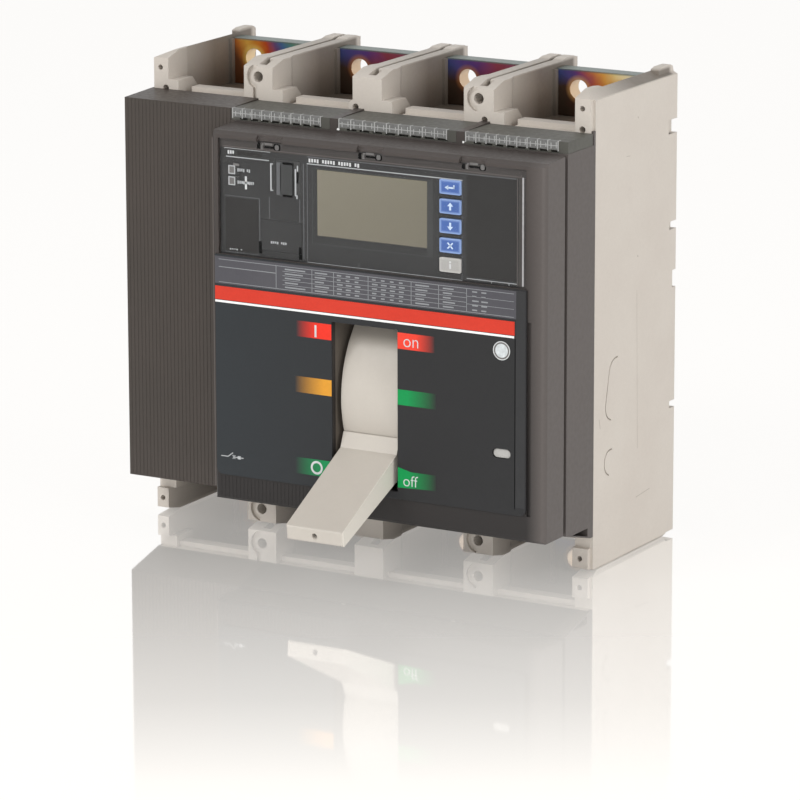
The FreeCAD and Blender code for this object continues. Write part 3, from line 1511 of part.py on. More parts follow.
def status_lenses():
    """The two square light guides of the alarm lamps."""
    back = fascia_back
    step = unit_step
    half = D.lens_size / 2 - D.inlay_gap
    lenses = []
    for index in range(int(number(D.lens_count))):
        z = level("lens_top") - D.lens_pitch * index
        lenses.append(block(
            "lens_" + str(index), (lens_x - half, lens_x + half), (-fascia_front - D.lens_rise, -back + step),
            (z - half, z + half),
        ))
    piece("status_lenses", group("status_lenses", lenses))


def clear_cover():
    """The hinged transparent cover, a thin plate with a rim and three hinge barrels."""
    gap = D.lid_gap
    x = (window_left + gap, window_right - gap)
    z = (window_z[0] + gap, window_z[1] - gap)
    plate = block("lid_plate", x, (-body_depth, -lid_inner), z)
    rim_rear = fascia_front + D.key_rise + gap
    rim = block("lid_rim_outer", x, (-lid_inner - D.inlay_gap, -rim_rear), z)
    t = D.lid_rim
    hollow = block(
        "lid_rim_inner", (x[0] + t, x[1] - t), (-lid_inner, -rim_rear + D.beyond), (z[0] + t, z[1] - t)
    )
    rim_ring = cut("lid_ring", rim, [hollow])
    barrels = []
    for index, middle in enumerate(hinge_places):
        half = D.hinge_width / 2
        span = (middle - half, middle + half)
        barrels.append(rod("lid_barrel_" + str(index), D.hinge_radius, span, -hinge_depth, hinge_z))
        barrels.append(block(
            "lid_tab_" + str(index), span, (-hinge_depth - D.hinge_radius, -hinge_depth),
            (z[1] - D.beyond, hinge_z),
        ))
    piece("clear_cover", fused("clear_cover", [plate, rim_ring] + barrels))


# Build

base()
for number_of_pole in POLES:
    for side_name, direction in ENDS:
        terminal(number_of_pole, side_name, direction)
    arc_chute(number_of_pole)
    current_sensor(number_of_pole)
    contact_arm(number_of_pole)
fixed_contacts()
flexible_links()
contact_shaft()
shaft_bearings()
mechanism_frame()
lever_pin()
lever()
lever_yoke()
trip_shaft()
trip_button()
release_coil()
mid_cover()
cover_screws()
for place, (left_edge, right_edge) in enumerate(aux_spans):
    aux_terminal(place, left_edge, right_edge)
front_cover()
front_plate()
plate_inlays()
unit_fascia()
unit_housing()
display()
for place, key_name in enumerate(KEYS):
    key(key_name, place)
for socket_name, share, span, slots in (
    ("test_connector", "connector", connector_x, D.connector_slot_count),
    ("rating_plug", "plug", plug_x, D.plug_slot_count),
):
    socket_piece(socket_name, span, (level(share + "_bottom"), level(share + "_top")), slots)
status_lenses()
clear_cover()

doc.recompute()
for item in doc.Objects:
    if "Invalid" in item.State or "Error" in item.State:
        raise RuntimeError(item.Label + " did not compute: " + str(item.State))
for item in pieces:
    if item.Shape.isNull() or not item.Shape.isValid():
        raise RuntimeError(item.Label + " has no valid shape")

os.makedirs("parts", exist_ok=True)
for item in pieces:
    item.Shape.exportStep(os.path.join("parts", item.Label + ".step"))
print(len(pieces), "sub-parts written")
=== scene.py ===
import json
import math

import bmesh
import bpy
from mathutils import Matrix, Vector


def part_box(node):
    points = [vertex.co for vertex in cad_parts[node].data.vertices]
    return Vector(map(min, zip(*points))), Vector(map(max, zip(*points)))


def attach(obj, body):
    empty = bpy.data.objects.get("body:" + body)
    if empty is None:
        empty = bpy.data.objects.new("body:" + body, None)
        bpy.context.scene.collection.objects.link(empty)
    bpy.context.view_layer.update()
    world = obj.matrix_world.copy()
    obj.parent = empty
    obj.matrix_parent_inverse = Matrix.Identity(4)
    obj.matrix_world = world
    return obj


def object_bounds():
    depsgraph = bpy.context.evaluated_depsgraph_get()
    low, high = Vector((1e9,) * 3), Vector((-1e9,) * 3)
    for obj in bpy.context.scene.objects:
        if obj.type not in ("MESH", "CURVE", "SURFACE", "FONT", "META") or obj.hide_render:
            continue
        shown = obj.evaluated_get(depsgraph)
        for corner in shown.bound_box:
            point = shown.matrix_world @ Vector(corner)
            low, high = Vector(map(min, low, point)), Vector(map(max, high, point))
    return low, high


# Sizes of pieces are in millimetres. X to the right, Y to the rear, Z up.

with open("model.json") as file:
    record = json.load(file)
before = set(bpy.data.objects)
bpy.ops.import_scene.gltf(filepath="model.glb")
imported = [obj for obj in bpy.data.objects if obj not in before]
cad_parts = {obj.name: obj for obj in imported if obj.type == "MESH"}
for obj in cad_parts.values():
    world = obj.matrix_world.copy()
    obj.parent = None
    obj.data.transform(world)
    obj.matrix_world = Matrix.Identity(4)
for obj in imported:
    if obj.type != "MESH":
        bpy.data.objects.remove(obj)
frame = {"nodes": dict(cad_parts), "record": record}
cad_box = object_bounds()
NODES = frame["nodes"]
MM = 0.001


def mm(*values):
    """Millimetres to metres, as a vector."""
    return Vector([value * MM for value in values])


def box_mm(node):
    """The lowest and highest corners of a CAD node, in millimetres."""
    low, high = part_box(node)
    return low / MM, high / MM


# Camera, fitted to the edges of the breaker in the photograph

PHOTO_SIZE = 800
FOCAL_PIXELS = 5098.0
SENSOR_WIDTH = 36.0
CAMERA_PLACE = (1.3884736, -2.4843850, 0.6138305)
VIEW_DIRECTION = (-0.48377424, 0.84313333, -0.23470978)
CAMERA_ROLL = -0.002051


def add_camera():
    """The camera at the photograph's viewing angle."""
    data = bpy.data.cameras.new("camera")
    data.sensor_fit = "HORIZONTAL"
    data.sensor_width = SENSOR_WIDTH
    data.lens = FOCAL_PIXELS / PHOTO_SIZE * SENSOR_WIDTH
    data.clip_end = 50
    camera = bpy.data.objects.new("camera", data)
    bpy.context.scene.collection.objects.link(camera)
    bpy.context.scene.camera = camera
    forward = Vector(VIEW_DIRECTION).normalized()
    level_right = forward.cross(Vector((0, 0, 1))).normalized()
    level_up = level_right.cross(forward)
    right = level_right * math.cos(CAMERA_ROLL) + level_up * math.sin(CAMERA_ROLL)
    up = level_up * math.cos(CAMERA_ROLL) - level_right * math.sin(CAMERA_ROLL)
    camera.matrix_world = Matrix((
        (right.x, up.x, -forward.x, CAMERA_PLACE[0]),
        (right.y, up.y, -forward.y, CAMERA_PLACE[1]),
        (right.z, up.z, -forward.z, CAMERA_PLACE[2]),
        (0, 0, 0, 1),
    ))


add_camera()
bpy.context.scene.view_settings.view_transform = "Standard"


# Materials

# Grain in features per metre, and its depth on each kind of surface
GRAIN = 1400
RESIN_GRAIN_DEPTH = 0.02 * MM
PAINT_GRAIN_DEPTH = 0.01 * MM
PRINT_GRAIN_DEPTH = 0.005 * MM
# Radius of a moulded edge, and the samples taken round it
SOFT_EDGE = 0.4 * MM
EDGE_SAMPLES = 4


def grey(level):
    return (level, level, level)


def srgb(code):
    """A colour written as six hex digits, as linear values."""
    parts = [int(code[i:i + 2], 16) / 255 for i in (0, 2, 4)]
    return tuple(c / 12.92 if c <= 0.04045 else ((c + 0.055) / 1.055) ** 2.4 for c in parts)


class Shade:
    """A node material built up step by step."""

    def __init__(self, name):
        self.material = bpy.data.materials.new(name)
        self.material.use_nodes = True
        self.tree = self.material.node_tree
        self.shader = self.tree.nodes["Principled BSDF"]
        self.output = self.tree.nodes["Material Output"]
        self.place = self.tree.nodes.new("ShaderNodeTexCoord")

    def node(self, kind, **inputs):
        item = self.tree.nodes.new("ShaderNode" + kind)
        for key, value in inputs.items():
            item.inputs[key.replace("_", " ")].default_value = value
        return item

    def link(self, start, end):
        self.tree.links.new(start, end)

    def put(self, socket, value):
        """Link an output to a socket, or write a number or colour on it."""
        if hasattr(value, "is_output"):
            self.link(value, socket)
        elif isinstance(value, tuple):
            socket.default_value = (*value, 1) if len(value) == 3 else value
        else:
            socket.default_value = value

    def set(self, **inputs):
        """Put values on the material's own shader."""
        for key, value in inputs.items():
            self.put(self.shader.inputs[key.replace("_", " ")], value)
        return self

    def noise(self, scale, detail=2.0, rough=0.5, stretch=(1, 1, 1)):
        """A noise over the object, in features per metre."""
        mapping = self.node("Mapping", Scale=stretch)
        self.link(self.place.outputs["Object"], mapping.inputs["Vector"])
        item = self.node("TexNoise", Scale=scale, Detail=detail, Roughness=rough)
        self.link(mapping.outputs["Vector"], item.inputs["Vector"])
        return item.outputs["Fac"]

    def ramp(self, factor, *stops):
        """Colours along a factor, each with its place."""
        item = self.node("ValToRGB")
        ramp = item.color_ramp
        while len(ramp.elements) < len(stops):
            ramp.elements.new(0.5)
        for element, (place, colour) in zip(ramp.elements, stops):
            element.position = place
            element.color = (*colour, 1)
        self.link(factor, item.inputs["Fac"])
        return item.outputs["Color"]

    def drift(self, low, high, patches=26, detail=4, rough=0.6):
        """A slow change between two colours."""
        return self.ramp(self.noise(patches, detail, rough), (0.3, low), (0.7, high))

    def uneven(self, rough, change, pattern):
        """A roughness that goes up and down with a pattern."""
        return self.ramp(pattern, (0.3, grey(rough - change)), (0.7, grey(rough + change)))

    def mix(self, factor, first, second, blend="MIX"):
        item = self.node("Mix")
        item.data_type = "RGBA"
        item.blend_type = blend
        for index, value in ((0, factor), (6, first), (7, second)):
            self.put(item.inputs[index], value)
        return item.outputs[2]

    def math(self, operation, first, second=0.0, clamp=False):
        item = self.node("Math")
        item.operation = operation
        item.use_clamp = clamp
        self.put(item.inputs[0], first)
        self.put(item.inputs[1], second)
        return item.outputs[0]

    def plus(self, first, second, clamp=False):
        return self.math("ADD", first, second, clamp)

    def minus(self, first, second):
        return self.math("SUBTRACT", first, second)

    def times(self, first, second):
        return self.math("MULTIPLY", first, second)

    def magnitude(self, value):
        """A value without its sign."""
        return self.math("ABSOLUTE", value)

    def span(self, value, start, end):
        """How far a value is from one bound to another, kept between 0 and 1."""
        item = self.node("MapRange", From_Min=start, From_Max=end)
        item.clamp = True
        self.link(value, item.inputs["Value"])
        return item.outputs["Result"]

    def axis(self, name):
        """One coordinate of the object, in metres."""
        item = self.node("SeparateXYZ")
        self.link(self.place.outputs["Object"], item.inputs[0])
        return item.outputs[name]

    def bump(self, height, depth, rounding=0.0):
        """Surface relief from a height, in metres, with edges softened by a radius."""
        item = self.node("Bump", Strength=1.0, Distance=depth)
        self.link(height, item.inputs["Height"])
        if rounding:
            soft = self.node("Bevel", Radius=rounding)
            soft.samples = EDGE_SAMPLES
            self.link(soft.outputs["Normal"], item.inputs["Normal"])
        self.link(item.outputs["Normal"], self.shader.inputs["Normal"])

    def grained(
        self, colour, rough, grain=GRAIN, depth=RESIN_GRAIN_DEPTH, rounding=SOFT_EDGE, shine=0.5, speck=0.95
    ):
        """Put a colour on the surface with fine specks, uneven gloss, grain and softened edges."""
        specks = self.ramp(self.noise(grain * 0.6), (0.35, grey(speck)), (0.65, grey(1.0)))
        gloss = self.uneven(rough, 0.06, self.noise(grain * 0.3, 3))
        self.set(Base_Color=self.mix(1.0, colour, specks, "MULTIPLY"))
        self.set(Roughness=gloss, Specular_IOR_Level=shine)
        self.bump(self.noise(grain, 3), depth, rounding)
        return self


def moulded(
    name, low, high, rough, depth=RESIN_GRAIN_DEPTH, rounding=SOFT_EDGE, patches=26, shine=0.5, grain=GRAIN
):
    """Moulded plastic or print: slow colour drift, a fine grain and softened edges."""
    shade = Shade(name)
    return shade.grained(shade.drift(srgb(low), srgb(high), patches), rough, grain, depth, rounding, shine)


def metal(name, low, high, rough, along=(1, 1, 1)):
    """Metal with fine drawn lines and a slow change of tone."""
    shade = Shade(name)
    lines = shade.noise(900, 4, 0.7, along)
    shade.set(Base_Color=shade.drift(srgb(low), srgb(high), 40, 3), Metallic=1.0)
    shade.set(Roughness=shade.uneven(rough, 0.08, lines))
    shade.bump(lines, 0.01 * MM, 0.3 * MM)
    return shade


# Front plate and its prints

PLATE_ROUGHNESS = 0.45
PLATE_SHINE = 0.25


def plate_colour(shade):
    """The plate's grey, faintly blue at its left and neutral at its right."""
    across = shade.span(shade.axis("X"), -66 * MM, 60 * MM)
    tone = shade.mix(across, srgb("2a2e31"), srgb("262627"))
    return shade.mix(1.0, tone, shade.drift(grey(0.94), grey(1.0)), "MULTIPLY")


def plate_grey():
    """The printed plate around the lever."""
    shade = Shade("plate_grey")
    return shade.grained(plate_colour(shade), PLATE_ROUGHNESS, depth=PAINT_GRAIN_DEPTH, shine=PLATE_SHINE)


def faded(name, code, start, end):
    """A print that is solid at one place along X and fades into the plate at another, in millimetres."""
    shade = Shade(name)
    amount = shade.span(shade.axis("X"), start * MM, end * MM)
    colour = shade.mix(amount, srgb(code), plate_colour(shade))
    return shade.grained(colour, PLATE_ROUGHNESS, depth=PAINT_GRAIN_DEPTH, rounding=0, shine=PLATE_SHINE)


# Terminal bars, with the heat colours of each pole from left to right

BAR_COLOURS = (
    ("7a4a2c", "c07030", "dca848", "d0802c", "bc4a1e", "6a4a78", "48689a", "5a8a78", "98a090"),
    ("4a3a2e", "523426", "603222", "7a3222", "8c3a28", "843432", "6a3a4a", "5a4468", "506080"),
    ("4a3a2e", "523426", "5c3022", "6e2e22", "84342a", "8a3838", "703c58", "54508c", "7a5a50"),
    ("4a3a2e", "523426", "6e3220", "b03c1c", "d8702a", "e8a850", "f0d490", "f4e0b0", "f0e4c8"),
)
BAR_RINGS = ("f0cc6c", "b87848", "b87848", "e0a868")
POLE_COUNT = 4
POLE_PITCH = 70
BAR_HALF_WIDTH = 26
BAR_END = 130.4
BOLT_HOLE_RADIUS = 5.5
BOLT_HOLE_OFFSET = 12.5
BOLT_HOLE_HEIGHT = 119.5


def heat_tinted(name, pole):
    """Plated copper with heat colours that run across the bar, along its end and round its holes, and a
    painted highlight on each hole's rim.
    """
    shade = Shade(name)
    middle = POLE_PITCH * (pole - (POLE_COUNT + 1) / 2)
    x = shade.minus(shade.axis("X"), middle * MM)
    z = shade.magnitude(shade.axis("Z"))
    wobble = shade.times(shade.minus(shade.noise(55, 3, 0.6), 0.5), 14 * MM)
    lean = shade.times(shade.minus(z, 120 * MM), 0.55)
    across = shade.plus(shade.plus(x, wobble), lean)
    left, right = -BAR_HALF_WIDTH * MM, BAR_HALF_WIDTH * MM
    codes = BAR_COLOURS[pole - 1]
    stops = [(index / (len(codes) - 1), srgb(code)) for index, code in enumerate(codes)]
    colour = shade.ramp(shade.span(across, left, right), *stops)
    if pole > 1:
        violets = ((0.0, srgb("34548c")), (0.6, srgb("563c84")), (1.0, srgb("8c3a48")))
        band = shade.ramp(shade.span(across, left, 10 * MM), *violets)
        top = shade.times(shade.span(shade.plus(z, wobble), 119 * MM, 127 * MM), 0.85)
        if pole == POLE_COUNT:
            top = shade.times(top, shade.span(across, 6 * MM, -8 * MM))
        colour = shade.mix(top, colour, band)
    beside = shade.minus(shade.magnitude(x), BOLT_HOLE_OFFSET * MM)
    above = shade.minus(z, BOLT_HOLE_HEIGHT * MM)
    distance = shade.math("SQRT", shade.plus(shade.times(beside, beside), shade.times(above, above)))
    rim = BOLT_HOLE_RADIUS * MM
    ring = shade.times(shade.span(distance, rim + 3 * MM, rim + 0.1 * MM), 0.75)
    colour = shade.mix(ring, colour, srgb(BAR_RINGS[pole - 1]))
    # Painted highlight: cream on the rim of the hole
    colour = shade.mix(shade.span(distance, rim + 0.2 * MM, rim - 0.1 * MM), colour, srgb("f6e2c4"))
    colour = shade.mix(shade.span(z, (BAR_END - 1.2) * MM, BAR_END * MM), colour, srgb("5f6964"))
    lines = shade.noise(700, 4, 0.7, (1, 1, 0.1))
    shade.set(Base_Color=colour, Metallic=0.7, Roughness=shade.uneven(0.37, 0.07, lines))
    shade.bump(lines, 0.02 * MM, 0.5 * MM)
    return shade


# Single materials


def clear_plastic():
    """Clear plastic: almost invisible face on, faintly hazy at a slant."""
    shade = Shade("clear_polycarbonate")
    haze = shade.drift(srgb("b9babb"), srgb("c4c5c6"), 30, 3, 0.5)
    slant = shade.node("LayerWeight", Blend=0.5).outputs["Facing"]
    cover = shade.ramp(slant, (0.45, grey(0.003)), (0.7, grey(0.01)), (1.0, grey(0.09)))
    return shade.set(Base_Color=haze, Alpha=cover, Roughness=0.3, IOR=1.49)


def cover_resin():
    """The covers' dark resin: brown on the ribs at the left, with painted shade low down and painted light on
    the right side.
    """
    shade = Shade("dark_resin")
    x = shade.axis("X")
    ribbed = shade.drift(srgb("3e3833"), srgb("423b36"))
    # Painted shade: the front darker towards the bottom
    front = shade.mix(shade.span(shade.axis("Z"), -100 * MM, 90 * MM), srgb("242120"), srgb("433d3a"))
    # Painted light: the right side lighter, where the light falls on it
    raised = shade.mix(shade.span(x, 129 * MM, 138 * MM), front, srgb("56504d"))
    return shade.grained(shade.mix(shade.span(x, -69 * MM, -67 * MM), ribbed, raised), 0.44, shine=0.3)


def tub_resin():
    """The pale tub: clean outside and at the back, with brown painted shade deep in the bays and holes."""
    shade = Shade("beige_resin")
    clean = shade.drift(srgb("c3bab0"), srgb("c8c0b6"))
    half_width, _, half_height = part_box("base")[1]
    y = shade.axis("Y")
    end = shade.magnitude(shade.axis("Z"))
    off_side = shade.span(shade.magnitude(shade.axis("X")), half_width - 0.3 * MM, half_width - 1.0 * MM)
    off_end = shade.span(end, half_height - 0.2 * MM, half_height - 2.0 * MM)
    off_back = shade.span(y, -3 * MM, -6 * MM)
    inside = shade.times(shade.times(off_side, off_end), off_back)
    # Painted shade: brown deeper into the bays and towards their floors, where little light reaches
    deep = shade.span(y, -98 * MM, -45 * MM)
    low = shade.span(end, 130 * MM, 106 * MM)
    painted_bay_shade = shade.plus(shade.times(deep, 0.79), shade.times(shade.times(deep, low), 0.12), clamp=True)
    return shade.grained(shade.mix(shade.times(painted_bay_shade, inside), clean, srgb("4d4236")), 0.5, speck=0.97)


def lever_resin():
    """The pale lever: greyer than the tub, with painted light on its right side and painted shade where the
    drum turns in.
    """
    shade = Shade("lever_resin")
    face = shade.drift(srgb("bab3a9"), srgb("c1bab0"), 22)
    # Painted shade: darker up the drum, where it turns in under the plate
    drum_recess_shade = shade.times(shade.span(shade.axis("Z"), -30 * MM, 5 * MM), 0.8)
    # Painted light: the right side lighter, where the light falls on it
    side = shade.span(shade.axis("X"), 46.4 * MM, 46.7 * MM)
    colour = shade.mix(side, shade.mix(drum_recess_shade, face, srgb("a79f94")), srgb("d6d0c5"))
    return shade.grained(colour, 0.45, speck=0.98)


def key_rubber(name, face, rim):
    """A key: its own colour in the middle and a lighter rim."""
    low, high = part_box(name)
    shade = Shade("rubber_" + name)
    reach = []
    for axis, index in (("X", 0), ("Z", 2)):
        offset = shade.magnitude(shade.minus(shade.axis(axis), (low[index] + high[index]) / 2))
        reach.append(shade.minus(offset, (high[index] - low[index]) / 2))
    edge = shade.span(shade.math("MAXIMUM", *reach), -2.4 * MM, -0.9 * MM)
    tone = shade.drift(grey(0.92), grey(1.0), 60, 3)
    colour = shade.mix(1.0, shade.mix(edge, srgb(face), srgb(rim)), tone, "MULTIPLY")
    return shade.grained(colour, 0.55, 2200, rounding=0.6 * MM, shine=0.3, speck=0.97)


def screen_glass():
    """The unlit display: warm grey, lighter to the upper left."""
    shade = Shade("display_glass")
    tone = shade.plus(shade.times(shade.axis("X"), -2.2), shade.times(shade.axis("Z"), 3.0))
    tone = shade.plus(tone, shade.times(shade.noise(18), 0.05))
    greys = ((0.0, srgb("686356")), (0.5, srgb("6f6a5c")), (1.0, srgb("777264")))
    colour = shade.ramp(shade.span(tone, -0.02, 0.32), *greys)
    shade.set(Base_Color=colour, Roughness=shade.uneven(0.2, 0.04, shade.noise(300)))
    shade.bump(shade.noise(500), 0.004 * MM)
    return shade


MATERIALS = {
    "beige_resin": tub_resin(),
    "dark_resin": cover_resin(),
    "plate_grey": plate_grey(),
    "clear_polycarbonate": clear_plastic(),
    "display_glass": screen_glass(),
    "red_inlay": moulded("red_inlay", "c6301c", "cc3622", 0.4, 0.008 * MM, 0.2 * MM, shine=0.3),
    "label_grey": moulded("label_grey", "4a494e", "504f53", 0.45, PAINT_GRAIN_DEPTH, 0.2 * MM, shine=0.25),
    "white_print": moulded("white_print", "bcc1c2", "d6dadb", 0.35, PAINT_GRAIN_DEPTH, 0.2 * MM, 420),
    "slot_grey": moulded("slot_grey", "5f574e", "6b635a", 0.6, PAINT_GRAIN_DEPTH, 0),
    "fascia_grey": moulded("fascia_grey", "323232", "373737", 0.45, PAINT_GRAIN_DEPTH, shine=0.25),
    "panel_dark": moulded("panel_dark", "2d2c2b", "302f2e", 0.5, 0.001 * MM, 0, shine=0.2),
    "black_resin": moulded("black_resin", "2c2c2c", "333332", 0.5),
    "circuit_board": moulded("circuit_board", "1f4a2e", "28583a", 0.5),
    "lens_red": moulded("lens_red", "6e6c6a", "7a7876", 0.3, PRINT_GRAIN_DEPTH),
    "grey_resin": moulded("grey_resin", "a9a7a3", "b3b1ad", 0.45),
    "terminal_grey": moulded("terminal_grey", "4a4944", "54534d", 0.5, shine=0.3),
    "comb_panel": moulded("comb_panel", "626260", "7a7a78", 0.5, PAINT_GRAIN_DEPTH, 0.1 * MM, 420),
    "comb_grey": moulded("comb_grey", "a2a2a0", "b2b2b0", 0.5, PAINT_GRAIN_DEPTH, 0.1 * MM),
    "zinc_steel": metal("zinc_steel", "b4b4ae", "c4c4be", 0.34, (1, 1, 0.08)),
    "silver": metal("silver", "c8c6be", "d8d6d0", 0.3),
    "copper": metal("copper", "b06a44", "c07c54", 0.36, (1, 1, 0.1)),
    "chute_steel": metal("chute_steel", "8a8a88", "9a9a98", 0.42, (1, 1, 0.1)),
    "red_fade_left": faded("red_fade_left", "e3311f", -1, -14),
    "red_fade_right": faded("red_fade_right", "e4402e", 61, 73),
    "amber_fade": faded("amber_fade", "d6952f", 3, -15),
    "green_fade_left": faded("green_fade_left", "0b8c50", 4, -15),
    "green_fade_right": faded("green_fade_right", "028c48", 56, 74),
}

# Prints and trim: lowest and highest tone, roughness and shine
PRINTS = {
    "print_line": ("a2a4a5", "b2b4b5", 0.45, 0.5),
    "print_soft": ("57585a", "5f6062", 0.5, 0.3),
    "print_label": ("86888a", "909294", 0.5, 0.3),
    "print_white": ("e6e6e4", "f2f2f0", 0.45, 0.5),
    "print_dim": ("c2c4c4", "cecfcf", 0.45, 0.5),
    "print_key": ("bccfe6", "c8d9ee", 0.5, 0.5),
    "print_dark": ("2a2b2b", "303131", 0.5, 0.5),
    "gap_black": ("060606", "0a0a0a", 0.7, 0.1),
    "clip_grey": ("605e5c", "6c6a68", 0.45, 0.5),
    # Painted highlight along an edge
    "edge_highlight": ("9a9898", "a4a2a2", 0.3, 0.5),
    "cover_band": ("3e3a38", "45413f", 0.45, 0.3),
    # Painted highlight along an edge, softer
    "soft_highlight": ("56504d", "5e5855", 0.45, 0.3),
    "edge_plate": ("2d2d2e", "313132", 0.45, 0.25),
    "seam_beige": ("a69d92", "b0a79c", 0.5, 0.5),
}
for name, (low, high, rough, shine) in PRINTS.items():
    MATERIALS[name] = moulded(name, low, high, rough, PRINT_GRAIN_DEPTH, 0, shine=shine)


def node_shade(node, slot):
    """The material of a CAD node."""
    if slot == "tinned_copper":
        return heat_tinted("heat_tint_" + node, int(node[-1]))
    if node == "lever":
        return lever_resin()
    if node == "key_info":
        return key_rubber(node, "a9a7a3", "bab8b4")
    if node.startswith("key_"):
        return key_rubber(node, "4663a1", "8ea6d2")
    return MATERIALS[slot]


for part in frame["record"]["subparts"]:
    data = NODES[part["node"]].data
    data.materials.clear()
    data.materials.append(node_shade(part["node"], part["material_slot"]).material)


# How pieces are made

# Thickness of a print, and of a border that lies flatter
PRINT = 0.05
BORDER = 0.04
# A font's letters are drawn at size 1: how much its strokes gain, and how narrow the words are
STROKE_OFFSET = -0.012
WORD_WIDTH = 0.97
RING_STEPS = 40


def add_piece(name, mesh, material, body="housing"):
    """Put a mesh in the scene as a piece that rides on a body."""
    item = bpy.data.objects.new(name, mesh)
    bpy.context.scene.collection.objects.link(item)
    mesh.materials.append(MATERIALS[material].material)
    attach(item, body)


def close_piece(name, work, material, body="housing"):
    """Turn the form under work into a piece."""
    mesh = bpy.data.meshes.new(name)
    work.to_mesh(mesh)
    work.free()
    add_piece(name, mesh, material, body)


def add_prism(work, first, second):
    """Add a closed form between two outlines with as many points."""
    first = [work.verts.new(point) for point in first]
    second = [work.verts.new(point) for point in second]
    work.faces.new(first)
    work.faces.new(list(reversed(second)))
    for index in range(len(first)):
        follower = (index + 1) % len(first)
        work.faces.new((first[follower], first[index], second[index], second[follower]))


def flat_piece(name, outlines, material, front, thickness=PRINT, body="housing", soften=0.0):
    """Flat closed shapes in the XZ plane that stand proud of a surface, as one piece."""
    work = bmesh.new()
    face = front - thickness
    for points in outlines:
        add_prism(work, [mm(x, face, z) for x, z in points], [mm(x, front, z) for x, z in points])
    bmesh.ops.recalc_face_normals(work, faces=work.faces)
    if soften:
        edges = [edge for edge in work.edges if all(abs(v.co.y - face * MM) < 1e-7 for v in edge.verts)]
        bmesh.ops.bevel(work, geom=edges, offset=soften * MM, segments=2, affect="EDGES", profile=0.6)
    close_piece(name, work, material, body)


def blocks_piece(name, spans, material):
    """Several blocks, each given by its ends along X, Y and Z, as one piece."""
    work = bmesh.new()
    for x_ends, (near, far), z_ends in spans:
        points = box_points(*x_ends, *z_ends)
        add_prism(work, [mm(x, near, z) for x, z in points], [mm(x, far, z) for x, z in points])
    bmesh.ops.recalc_face_normals(work, faces=work.faces)
    close_piece(name, work, material)


def side_piece(name, outlines, material, side, thickness=PRINT):
    """Flat closed shapes on a side that looks to the right, given along Y and Z, as one piece."""
    work = bmesh.new()
    face = side + thickness
    for points in outlines:
        add_prism(work, [mm(face, y, z) for y, z in points], [mm(side, y, z) for y, z in points])
    bmesh.ops.recalc_face_normals(work, faces=work.faces)
    close_piece(name, work, material)


def ring_piece(name, centre, outer, inner, material, front):
    """A flat ring in the XZ plane."""
    work = bmesh.new()
    face = front - PRINT
    rings = []
    for radius, depth in ((outer, face), (outer, front), (inner, front), (inner, face)):
        points = arc_points(centre, radius, 0, 360, RING_STEPS)[:-1]
        rings.append([work.verts.new(mm(x, depth, z)) for x, z in points])
    for first, second in zip(rings, rings[1:] + rings[:1]):
        for step in range(RING_STEPS):
            follower = (step + 1) % RING_STEPS
            work.faces.new((first[step], first[follower], second[follower], second[step]))
    bmesh.ops.recalc_face_normals(work, faces=work.faces)
    close_piece(name, work, material)


def word(name, text, left, bottom, height, material, front):
    """A printed word, fitted to the height of its letters."""
    curve = bpy.data.curves.new(name, "FONT")
    curve.body = text
    curve.size = 1
    curve.extrude = 0.01
    curve.offset = STROKE_OFFSET
    curve.resolution_u = 5
    item = bpy.data.objects.new(name + "_curve", curve)
    mesh = bpy.data.meshes.new_from_object(item)
    bpy.data.objects.remove(item)
    low = min(v.co.y for v in mesh.vertices)
    high = max(v.co.y for v in mesh.vertices)
    start = min(v.co.x for v in mesh.vertices)
    scale = height / (high - low)
    for vertex in mesh.vertices:
        x, y, z = vertex.co
        depth = front - PRINT if z > 0 else front
        vertex.co = mm(left + (x - start) * scale * WORD_WIDTH, depth, bottom + (y - low) * scale)
    mesh.name = name
    mesh.update()
    add_piece(name, mesh, material)


# Outlines in the XZ plane


def arc_points(centre, radius, start, end, steps):
    """Points round an arc, between two angles in degrees."""
    turns = [math.radians(start + (end - start) * step / steps) for step in range(steps + 1)]
    return [(centre[0] + radius * math.cos(turn), centre[1] + radius * math.sin(turn)) for turn in turns]


def box_points(left, right, bottom, top, radius=0.0):
    """A rectangle, with rounded corners if a radius is given."""
    if not radius:
        return [(left, bottom), (right, bottom), (right, top), (left, top)]
    corners = (
        (right - radius, bottom + radius, -90), (right - radius, top - radius, 0),
        (left + radius, top - radius, 90), (left + radius, bottom + radius, 180),
    )
    return [point for x, z, start in corners for point in arc_points((x, z), radius, start, start + 90, 4)]


def line_points(start, end, width):
    """A straight stroke between two places."""
    run = Vector((end[0] - start[0], end[1] - start[1]))
    side = Vector((-run.y, run.x)).normalized() * width / 2
    return [
        (start[0] - side.x, start[1] - side.y), (end[0] - side.x, end[1] - side.y),
        (end[0] + side.x, end[1] + side.y), (start[0] + side.x, start[1] + side.y),
    ]


def letter_blocks(left, right, bottom, top, pitch, fill=0.7):
    """A row of small bars that stands for a printed line, with a gap now and then."""
    count = int((right - left) / pitch)
    return [
        box_points(left + pitch * step, left + pitch * (step + fill), bottom + 0.15 * (step % 3), top)
        for step in range(count) if step % 6 != 4
    ]


# Front plate

PLATE_FRONT = box_mm("front_plate")[0].y
SLOT_LEFT, SLOT_RIGHT = 8.3, 49.9
# Coloured marks beside the lever's slot: material, left, right, bottom and top
PLATE_MARKS = {
    "mark_on_left": ("red_fade_left", -16, SLOT_LEFT, -6.6, 2.2),
    "mark_on_right": ("red_fade_right", SLOT_RIGHT, 73, -6.4, 2.6),
    "mark_trip": ("amber_fade", -16, SLOT_LEFT, -38, -29),
    "mark_middle": ("green_fade_right", SLOT_RIGHT, 74, -37.6, -29),
    "mark_off_left": ("green_fade_left", -16.4, SLOT_LEFT, -84, -74.8),
}


